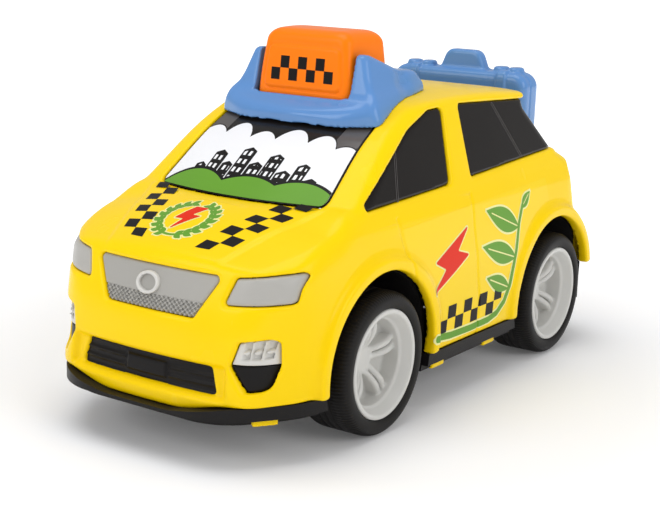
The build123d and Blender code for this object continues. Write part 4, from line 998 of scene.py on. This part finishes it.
# ----------------------------------------------------------------------------
# Grille: a grey insert, smooth above, with a fine diamond mesh in its lower third and a plain
# raised oval ring where the badge of a real car would sit.
grille_recess = 0.7
grille_mesh_top = 54.2
mesh_pitch = 1.9
mesh_slant = 1.15
mesh_depth = 0.75
emblem_x = -1.8
emblem_z = 57.6
emblem_half = (5.0, 3.75)
ring_height = 1.15


def plate(form, thickness, outline, radius):
    """A plate from a surface down to a depth below it, inside an outline."""
    return soft_cross(np.maximum(form, -(form + thickness)), outline, radius)


def grille_field(x, y, z):
    """The grille insert with its mesh relief."""
    outline = openings["grille"](x, y, z) + pane_gap
    u = (x + z * mesh_slant) / mesh_pitch
    v = (x - z * mesh_slant) / mesh_pitch
    hole = np.abs(np.sin(math.pi * u)) * np.abs(np.sin(math.pi * v))
    below_top = 1 - ease(grille_mesh_top - 0.3, grille_mesh_top + 0.3, z)
    form = body_form(x, y, z) + grille_recess
    form = form + mesh_depth * ease(0.18, 0.55, hole) * below_top
    return plate(form, pane_thickness, outline, 1.0)


grille_grey = paint("grille_grey", (0.375, 0.365, 0.34), 0.36, coat=0.1, mottle=0.03)
grille_cell = 0.33
grille_box = ((-29, -121, 46), (29, -106, 66))
add_moulding("grille_insert", grille_field, grille_box, grille_cell, grille_grey, "lamp_grey", "grille")


def ring_field(x, y, z):
    """The plain oval ring standing on the grille."""
    oval = (np.hypot((x - emblem_x) / emblem_half[0], (z - emblem_z) / emblem_half[1]) - 1) * 4.2
    form = body_form(x, y, z) + grille_recess
    return np.maximum(soft_cross(form - ring_height, np.abs(oval + 0.6) - 0.6, 0.5), -(form + 0.3))


ring_box = ((-9, -122, 52), (5, -112, 63))
add_moulding("grille_oval_ring", ring_field, ring_box, 0.3, lamp_white, "lamp_white")

# ----------------------------------------------------------------------------
# Front bumper inserts: a black lower grille at the back of its trough, and in each pocket a pale
# fog lamp block over a black vent. The lamp block has an arch and three small domed lamps.
trough_recess = 3.4
fog_recess = 1.5
vent_recess = 1.9
insert_thickness = 2.2
fog_thickness = 3.0
louvre_pitch = 2.9
number_plate_half = (8.6, 2.6)
number_plate_z = 29.6
fog_split_z = 36.0
fog_arch_x = 41.6
fog_arch_half = (3.6, 3.0)
fog_lean = 0.12
fog_lamps = (38.9, 41.6, 44.3)
fog_ribs = (40.2, 43.0)


def lower_grille_field(x, y, z):
    """A flat black plate with level louvres and a plain number plate in the middle."""
    form = body_form(x, y, z) + trough_recess
    louvre = 0.5 * np.cos(2 * math.pi * (z - 25.0) / louvre_pitch) * (np.abs(x) > 9.5)
    number_plate = 0.8 * (1 - ease(-0.4, 0.4, rectangle(x, z - number_plate_z, number_plate_half)))
    form = form - np.maximum(louvre, 0) - number_plate
    outline = np.maximum(lower_grille_view(x, z) - 1.0, y - front_depth)
    return plate(form, insert_thickness, outline, 0.8)


def fog_lamp_field(x, y, z):
    """The upper block of the pocket with its arch relief and domed lamps."""
    across = np.abs(x)
    form = body_form(x, y, z) + fog_recess
    tilt = z - 41.0 - 0.07 * (across - 41.0)
    arch = rectangle(across - fog_arch_x - fog_lean * tilt, tilt, fog_arch_half)
    relief = 1.2 * (1 - ease(-0.5, 0.2, arch))
    for place in fog_lamps:
        away = np.hypot(across - place - fog_lean * tilt, tilt + 0.6)
        relief = relief - 1.5 * (1 - ease(0.3, 1.2, away))
    for rib in fog_ribs:
        away = np.abs(across - rib - fog_lean * tilt)
        relief = relief - 1.1 * (1 - ease(0.15, 0.45, away)) * (arch < 0)
    outline = np.maximum(pocket_view(across, z) + 0.2, fog_split_z - z + 0.1)
    return plate(form + relief, fog_thickness, np.maximum(outline, y - front_depth), 0.7)


def vent_field(x, y, z):
    """The black lower block of the pocket, slightly set back."""
    form = body_form(x, y, z) + vent_recess
    outline = np.maximum(pocket_view(np.abs(x), z) + 0.15, z - fog_split_z + 0.1)
    return plate(form, insert_thickness, np.maximum(outline, y - front_depth), 0.6)


add_moulding(
    "lower_grille_louvres",
    lower_grille_field,
    ((-32, -121, 22), (32, -108, 37)),
    0.5,
    black_plastic,
    "black_plastic",
    "lower_grille",
)
for side, low_x, high_x in (("left", 31, 50), ("right", -50, -31)):
    for node, field, low_z, high_z, cell, material, slot in (
        ("fog_lamp", fog_lamp_field, 34, 48, 0.3, lamp_white, "lamp_white"),
        ("bumper_vent", vent_field, 24, 38, 0.4, black_plastic, "black_plastic"),
    ):
        box = ((low_x, -122, low_z), (high_x, -94, high_z))
        add_moulding(f"{node}_block_{side}", field, box, cell, material, slot, f"{node}_{side}")

# ----------------------------------------------------------------------------
# Roof sign base: a glossy blue cap sitting on the roof, with a brim over the windscreen, a
# fin-like ear on each side of the sign, and a tub that drops through the roof.
cap_side = Drawn(
    [(-34.4, 95), (-34.4, 114), (-30.2, 131.2), (-26.0, 131.0)]
    + [(-8.0, 124.6), (3.0, 124.0), (13.0, 117.0), (14.0, 95)],
    [0.5, 10, 2.5, 7, 12, 8, 2.5, 0.5],
)
brim_side = Drawn(
    [(-43.6, 95), (-43.6, 109.0), (-33.5, 115.4), (10.0, 118.6), (13.0, 95)],
    [0.5, 1.6, 12, 4, 0.5],
)
cap_end = drawn_alike(
    [(36.4, 95), (35.6, 108), (33.6, 112.5), (28.8, 121.0), (24.9, 132.0)],
    [0.5, 3, 8, 20, 2.2],
)
cap_plan = drawn_alike(
    [(0, -43.8), (22, -41.6), (36.2, -35.5), (31.8, -10.0), (26.0, 13.6)],
    [60, 60, 3, 30, 10],
)
sign_end = drawn_alike([(22.3, 100), (21.9, 114), (18.4, 139.8)], [1, 20, 7])
sign_side = Drawn(
    [(-34.6, 100), (-34.6, 114), (-31.6, 139.2), (-19, 140.6), (-6.4, 139.0), (-4.6, 100)],
    [1, 20, 5.5, 40, 6, 1],
)
sign_plan = drawn_alike([(22.3, -34.6), (22.3, -4.6)], [5.0] * 2)
seat_gap = 0.05
tub_half = (23.3, 16.6)
tub_foot_z = 104.4
tub_top_z = 113
well_half = (21.7, 14.9)
well_floor_z = 106.0


def sign_solid(x, y, z):
    """The sign's outer form without its panel."""
    form = soft_cross(sign_end(x, z), sign_side(y, z), 4.0)
    return soft_cross(form, sign_plan(x, y), 2.5)


def cap_field(x, y, z):
    """The blue cap with the sign's well and an open front between the ears."""
    ears = soft_cross(cap_side(y, z), cap_end(x, z), 3.0)
    hollow_flank = 1.6 * (1 - ease(0, 8, np.hypot(y + 9, (z - 116) * 0.6))) * (np.abs(x) > 27)
    ears = soft_cross(ears + hollow_flank, cap_plan(x, y), 3.0)
    brim = soft_cross(brim_side(y, z), cap_plan(x, y), 3.2)
    brim = soft_cross(brim, cap_end(x, z), 2.0)
    cap = soft_join(ears, brim, 3.0)
    cap = soft_cross(cap, 0.7 - sign_solid(x, y, z), 1.6)
    tub = np.maximum(rectangle(x, y - sign_y, tub_half), np.maximum(tub_foot_z - z, z - tub_top_z))
    cap = np.minimum(np.maximum(cap, -(body_form(x, y, z) - seat_gap)), tub)
    well = np.maximum(rectangle(x, y - sign_y, well_half), well_floor_z - z)
    return np.maximum(cap, -well)


blue = paint(
    "blue_plastic", (0.105, 0.26, 0.57), 0.26, coat=0.4, coat_roughness=0.06, mottle=0.02, grain=0.01
)
cap_cell = 0.55
cap_box = ((0, -46, 96), (38, 16, 134))
add_moulding("roof_sign_cap", cap_field, cap_box, cap_cell, blue, "blue_plastic", "roof_sign_base")

# ----------------------------------------------------------------------------
# Roof sign: an orange hollow cap that is pressed down as the button. Its front carries a shallow
# raised panel with a printed chequer.
sign_panel = drawn_alike([(17.6, 116.6), (16.0, 132.6)], [2.4, 3.0])
sign_wall = 2.0
sign_edge_z = 112.4
sign_ceiling_z = 137.0
spring_seat_radius = 6.6
spring_seat_z = 115.4
plunger_radius = 2.4
plunger_z = 114.6


def sign_skin(x, y, z):
    """The sign's outside with its panel raised."""
    panel = sign_panel(x, z)
    front = (y < -24).astype(np.float32)
    raised = 0.55 * (1 - ease(-0.9, 0.3, panel)) * front
    ridge = 0.25 * (1 - ease(0.0, 0.6, np.abs(panel - 0.4))) * front
    return sign_solid(x, y, z) - raised + ridge


def sign_field(x, y, z):
    """The sign, open below, with a stem that pushes the switch and seats the spring."""
    skin = sign_skin(x, y, z)
    hollow = np.maximum(skin + sign_wall, z - sign_ceiling_z)
    shell = np.maximum(np.maximum(skin, sign_edge_z - z), -hollow)
    out = np.hypot(x, y - sign_y)
    above = z - sign_ceiling_z - 1
    seat = np.maximum(np.maximum(out - spring_seat_radius, spring_seat_z - z), above)
    plunger = np.maximum(np.maximum(out - plunger_radius, plunger_z - z), above)
    return np.minimum(shell, np.minimum(seat, plunger))


orange = paint("orange_plastic", (1.0, 0.205, 0.002), 0.30, coat=0.08, mottle=0.02, **polished)
add_moulding(
    "roof_sign_moulding",
    sign_field,
    ((0, -37, 111), (24, -3, 142)),
    cap_cell,
    orange,
    "orange_plastic",
    "roof_sign",
    "sign_button",
)

sign_square = (4.0, 4.4)
sign_chequer_half = (14.0, 4.4)
sign_chequer_z = 124.0
sign_search = (-42.0, -22.0)


def sign_chequer(x, z):
    """Two rows of squares across the panel."""
    right = x + sign_chequer_half[0]
    up = z - sign_chequer_z + sign_chequer_half[1]
    column = np.floor(right / sign_square[0])
    row = np.floor(up / sign_square[1])
    half = (sign_square[0] / 2, sign_square[1] / 2)
    square = rectangle(right - half[0] * (2 * column + 1), up - half[1] * (2 * row + 1), half)
    square = np.where((column + row) % 2 == 0, square, 1.0)
    return np.maximum(square, rectangle(x, z - sign_chequer_z, sign_chequer_half))


def on_sign(x, z):
    """Lays a flat (x, z) shape on the front of the sign."""
    return x, settle(lambda y: sign_skin(x, y, z) > film_lift, sign_search, x), z


sign_box = ((-18, 116), (18, 132))
add_film("roof_sign_print_chequer", sign_chequer, sign_box, on_sign, "black", 0.25, "sign_button")

# ----------------------------------------------------------------------------
# Luggage case: a hollow blue moulding behind the rear window, shaped as a suitcase with two
# straps, paired latches on top of each strap and a solid handle.
case_front_y = 83.0
case_rear_y = 98.0
case_half = 33.4
case_foot_z = 83.5
case_top_z = 118.0
case_corner = 6.5
latch_x = 21.9
latch_gap = 3.6
handle_y = 90.5
handle_half_x = 11.3
handle_top_z = 126.2


def case_field(x, y, z):
    """The suitcase with its seam, straps, latches and handle."""
    middle_z = (case_foot_z + case_top_z) / 2
    out_x = np.abs(x) - case_half + case_corner
    out_z = np.abs(z - middle_z) - (case_top_z - case_foot_z) / 2 + case_corner
    corner = np.hypot(np.maximum(out_x, 0), np.maximum(out_z, 0)) + np.minimum(np.maximum(out_x, out_z), 0)
    depth = np.abs(y - handle_y) - (case_rear_y - case_front_y) / 2
    case = soft_cross(corner - case_corner, depth, 4.0)
    case = case + 0.5 * (1 - ease(0.2, 0.9, np.abs(y - handle_y + 1.0)))
    strap = np.abs(np.abs(x) - latch_x) - 2.6
    case = case - 0.9 * (1 - ease(-0.8, 0.2, strap))
    for shift in (-latch_gap, latch_gap):
        bump = np.hypot((np.abs(x) - latch_x - shift) / 3.2, (y - handle_y) / 4.4) - 1
        bump = soft_cross(bump * 3.2, np.abs(z - case_top_z) - 2.1, 1.6)
        case = soft_join(case, bump, 1.0)
    slope = np.abs(x) - handle_half_x + (z - case_top_z) * 0.42
    handle = soft_cross(slope * 0.92, z - handle_top_z, 3.0)
    handle = soft_cross(handle, np.abs(y - handle_y) - 3.2, 2.2)
    handle = np.maximum(handle, case_top_z - 3 - z)
    case = soft_join(case, handle, 1.6)
    return np.maximum(case, -(body_form(x, y, z) - seat_gap))


case_box = ((0, 80, 82), (36, 101, 128))
add_moulding("luggage_case_moulding", case_field, case_box, cap_cell, blue, "blue_plastic", "luggage_case")

# ----------------------------------------------------------------------------
# Wheels: soft black tyres with fine ribs round both shoulders, stretched over deep-dished pale
# grey rims with five pairs of bowed spokes and a flat hub.
tyre_radius = 26.2
tyre_face_x = 56.4
tyre_back_x = 34.4
bead_radius = 18.75
hub_face_x = 46.4
hub_radius = 5.6
spoke_pairs = 5
tread_ribs = 120
tread_grooves = (48.4, 45.4, 42.4)


def tyre_mesh():
    """One tyre about the X axis at the origin, as rings of points with ribs cut in the shoulders."""
    # Each point of the profile has its place along the axle, its radius and its share of a rib's depth.
    shoulder = [
        (tyre_face_x - 0.1, 21.6, 0),
        (tyre_face_x, 22.8, 0),
        (tyre_face_x - 0.15, 23.9, 0),
        (tyre_face_x - 0.6, 24.8, 0.15),
        (tyre_face_x - 1.4, 25.5, 1),
        (tyre_face_x - 2.4, 25.95, 1),
        (tyre_face_x - 3.5, tyre_radius - 0.05, 1),
        (tyre_face_x - 4.4, tyre_radius, 0.4),
    ]
    profile = [(35.2, bead_radius, 0), (54.2, bead_radius, 0)]
    profile += [(54.3, 20.1, 0), (55.5, 20.15, 0), (55.9, 20.5, 0)] + shoulder
    for groove in tread_grooves:
        for shift, depth in ((0.55, 0), (0.3, 0.7), (-0.3, 0.7), (-0.55, 0)):
            profile.append((groove + shift, tyre_radius - depth, 0))
    profile += [(tyre_face_x + tyre_back_x - x, r, rib) for x, r, rib in shoulder[:0:-1]]
    profile = np.array(profile + [(34.9, 20.5, 0)])
    steps = tread_ribs * 4
    turn = 2 * math.pi * np.arange(steps) / steps
    cut = np.where(np.arange(steps) % 4 < 2, 0.0, 0.42)
    radius = profile[:, 1] - cut[:, None] * profile[:, 2]
    along = np.broadcast_to(profile[:, 0], radius.shape)
    points = np.stack([along, radius * np.cos(turn)[:, None], radius * np.sin(turn)[:, None]], 2)
    n = len(profile)
    ring, spot = np.meshgrid(np.arange(steps), np.arange(n), indexing="ij")
    after = (ring + 1) % steps
    beside = (spot + 1) % n
    quads = np.stack([ring * n + spot, ring * n + beside, after * n + beside, after * n + spot], 2)
    return points.reshape(-1, 3), quads.reshape(-1, 4)


rim_section = Drawn(
    [(35.4, 17.0), (35.4, 18.7), (54.3, 18.7), (54.3, 20.0), (56.0, 20.0), (56.0, 18.3), (52.2, 16.4)]
    + [(51.4, 15.6), (44.6, 15.4), (44.2, 0.0), (42.2, -2.0), (42.2, 16.9)],
    [0.4, 0.4, 0.3, 0.2, 0.7, 0.7, 1.2, 0.8, 1.2, 0.2, 0.2, 1.0],
    step=0.2,
    margin=4,
)


def rim_field(first_spoke):
    """Signed distance of a rim at the origin, its first spoke pair at an angle from +Y."""

    def field(x, y, z):
        out = np.hypot(y, z)
        rim = rim_section(x, out)
        hub = soft_cross(out - hub_radius, np.maximum(x - hub_face_x, 42 - x), 1.2)
        rim = soft_join(rim, hub, 1.5)
        step_round = 2 * math.pi / spoke_pairs
        angle = np.arctan2(z, y) - first_spoke
        angle = angle - step_round * np.round(angle / step_round)
        along = out * np.cos(angle)
        across = np.abs(out * np.sin(angle))
        bow = np.clip((along - 4.0) / 7.4, 0, 2)
        crest = 46.6 + 5.2 * bow - 1.75 * bow**2.6
        middle = 1.15 + 0.045 * along
        bar = soft_cross(np.abs(across - middle) - 1.1 - 0.02 * along, (x - crest) * 0.86, 1.6)
        bar = soft_cross(bar, np.maximum(4.0 - along, out - 16.2), 0.8)
        bar = np.maximum(bar, 43 - x)
        return soft_join(rim, bar, 0.8)

    return field


tyre_rubber = paint(
    "tyre_rubber", (0.010, 0.009, 0.0085), 0.50, specular=0.18, mottle=0.15, grain=0.08, scale=1400.0
)
rim_grey = paint("rim_grey", (0.62, 0.615, 0.59), 0.34, coat=0.1, mottle=0.02)
rim_cell = 0.42
tyre_points, tyre_quads = tyre_mesh()
for end, axle_y, first_spoke in (("front", front_axle_y, 16), ("rear", rear_axle_y, 38)):
    field = rim_field(math.radians(first_spoke))
    rim_points, rim_quads = surface_net(field, ((34, -21, -21), (58, 21, 21)), rim_cell)
    axle = np.array((0, axle_y, axle_z))
    for hand, side in sides:
        wheel = f"{end}_{side}"
        turned = np.array((hand, 1, 1))
        tyre = make_piece(f"tyre_{wheel}_ribbed", tyre_points * turned + axle, tyre_quads[:, ::hand])
        place_piece(tyre, tyre_rubber, f"{end}_wheels", "tyre_rubber", [f"tyre_{wheel}"])
        rim = make_piece(f"rim_{wheel}_spoked", rim_points * turned + axle, rim_quads[:, ::hand])
        if len(rim_quads) > most_quads:
            thin_out(rim, most_quads / len(rim_quads))
        place_piece(rim, rim_grey, f"{end}_wheels", "rim_grey", [f"rim_{wheel}"])

# ----------------------------------------------------------------------------
# Chassis and battery door: satin black mouldings with a fine spark-eroded grain, held by the body
# shell's snap tabs and screws. Their shapes are the CAD ones.


def finish_nodes(material, *names):
    """Give CAD nodes that are shown as they are a material."""
    for name in names:
        for material_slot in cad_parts[name].material_slots:
            material_slot.material = material


chassis_black = paint(
    "chassis_black", (0.010, 0.009, 0.009), 0.40, specular=0.16, mottle=0.12, grain=0.16, scale=2200.0
)
finish_nodes(chassis_black, "chassis", "battery_door")

# ----------------------------------------------------------------------------
# Running gear: drawn steel axles and shafts, plated screws, a dark turned flywheel, and natural
# nylon gears in a grey two-part gearbox.
metal = {"metallic": 1.0, "specular": 0.5}
drawn_steel = paint("drawn_steel", (0.56, 0.56, 0.55), 0.26, mottle=0.08, grain=0.25, scale=3200.0, **metal)
plated_steel = paint("plated_steel", (0.62, 0.60, 0.54), 0.32, mottle=0.1, grain=0.15, scale=2600.0, **metal)
turned = {"mottle": 0.14, "grain": 0.35, "scale": 1500.0}
turned_steel = paint("turned_steel", (0.22, 0.22, 0.225), 0.42, metallic=0.9, specular=0.5, **turned)
nylon = paint("natural_nylon", (0.76, 0.74, 0.67), 0.44, mottle=0.03, grain=0.05)
gearbox_grey = paint("gearbox_grey", (0.215, 0.215, 0.21), 0.42, mottle=0.05, grain=0.12, scale=1800.0)
finish_nodes(drawn_steel, "front_axle", "rear_axle", "idler_shaft", "flywheel_shaft")
finish_nodes(plated_steel, "body_screws", "gearbox_screws", "battery_door_screw")
finish_nodes(turned_steel, "flywheel")
finish_nodes(nylon, "axle_gear", "idler_gear", "flywheel_pinion")
finish_nodes(gearbox_grey, "gearbox_left_half", "gearbox_right_half", "battery_box")

# ----------------------------------------------------------------------------
# Sound and light: two foil-wrapped cells between nickel contacts, a speaker, sleeved leads, and in
# the roof a lacquered board with a switch, two lamps and the sign's return spring.
nickel = paint("nickel_strip", (0.66, 0.63, 0.56), 0.24, mottle=0.06, grain=0.10, scale=2000.0, **metal)
switch_black = paint("switch_black", (0.02, 0.02, 0.02), 0.40, mottle=0.08, grain=0.08)
clear_gloss = {"coat": 0.8, "coat_roughness": 0.03, "specular": 0.5}
lamp_clear = paint("lamp_clear", (0.80, 0.74, 0.64), 0.10, mottle=0.03, **clear_gloss)
sleeve_red = paint("sleeve_red", (0.34, 0.012, 0.010), 0.38, coat=0.1, mottle=0.05, grain=0.04)
finish_nodes(nickel, "battery_contacts", "sign_spring")
finish_nodes(switch_black, "push_switch")
finish_nodes(lamp_clear, "sign_lamps")
finish_nodes(sleeve_red, "battery_lead", "speaker_lead")


def add_pattern(material, colour):
    """Let an output's colour take the place of a material's plain colour."""
    surface = next(node for node in material.node_tree.nodes if node.type == "GROUP")
    set_sockets(material.node_tree, surface, {"Colour": colour})


def banded(name, axis, colours, edges, roughness, metallic=0.0):
    """A material whose colour changes in bands along one axis, at places given in metres."""
    material = paint(name, colours[0], roughness, metallic=metallic, specular=0.4, mottle=0.04, grain=0.05)
    tree = material.node_tree
    place = add_node(tree, "TexCoord", {}).outputs["Object"]
    apart = add_node(tree, "SeparateXYZ", {0: place}).outputs[axis]
    along = add_node(tree, "MapRange", {"Value": apart, "From Min": edges[0], "From Max": edges[-1]})
    ramp = add_node(tree, "ValToRGB", {"Fac": along.outputs["Result"]})
    ramp.color_ramp.interpolation = "CONSTANT"
    for i, (edge, colour) in enumerate(zip(edges[:-1], colours)):
        part = (edge - edges[0]) / (edges[-1] - edges[0])
        stop = ramp.color_ramp.elements[0] if i == 0 else ramp.color_ramp.elements.new(part)
        stop.position = part
        stop.color = (*colour, 1)
    ramp.color_ramp.elements.remove(ramp.color_ramp.elements[-1])
    add_pattern(material, ramp.outputs["Color"])
    return material


low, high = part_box("cells")
foil = banded(
    "cell_foil",
    "X",
    [(0.60, 0.58, 0.54), (0.03, 0.035, 0.045), (0.50, 0.22, 0.06), (0.60, 0.58, 0.54)],
    [low[0], low[0] + 0.0015, high[0] - 0.013, high[0] - 0.0015, high[0]],
    0.28,
    0.7,
)
finish_nodes(foil, "cells")
low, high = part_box("speaker")
speaker_paper = banded(
    "speaker_paper",
    "Z",
    [(0.015, 0.015, 0.015), (0.05, 0.045, 0.04), (0.42, 0.41, 0.39)],
    [low[2], low[2] + 0.0012, (low[2] + high[2]) / 2, high[2]],
    0.5,
)
finish_nodes(speaker_paper, "speaker")

lacquer = paint("board_green", (0.010, 0.085, 0.022), 0.28, coat=0.3, specular=0.4, mottle=0.05)
track_colours = {
    "Color1": (0.012, 0.095, 0.026, 1),
    "Color2": (0.010, 0.080, 0.020, 1),
    "Mortar": (0.030, 0.17, 0.05, 1),
}
board_place = add_node(lacquer.node_tree, "TexCoord", {}).outputs["Object"]
track_sizes = {"Vector": board_place, "Scale": 120.0, "Mortar Size": 0.05}
tracks = add_node(lacquer.node_tree, "TexBrick", {**track_colours, **track_sizes})
add_pattern(lacquer, tracks.outputs["Color"])
finish_nodes(lacquer, "circuit_board")
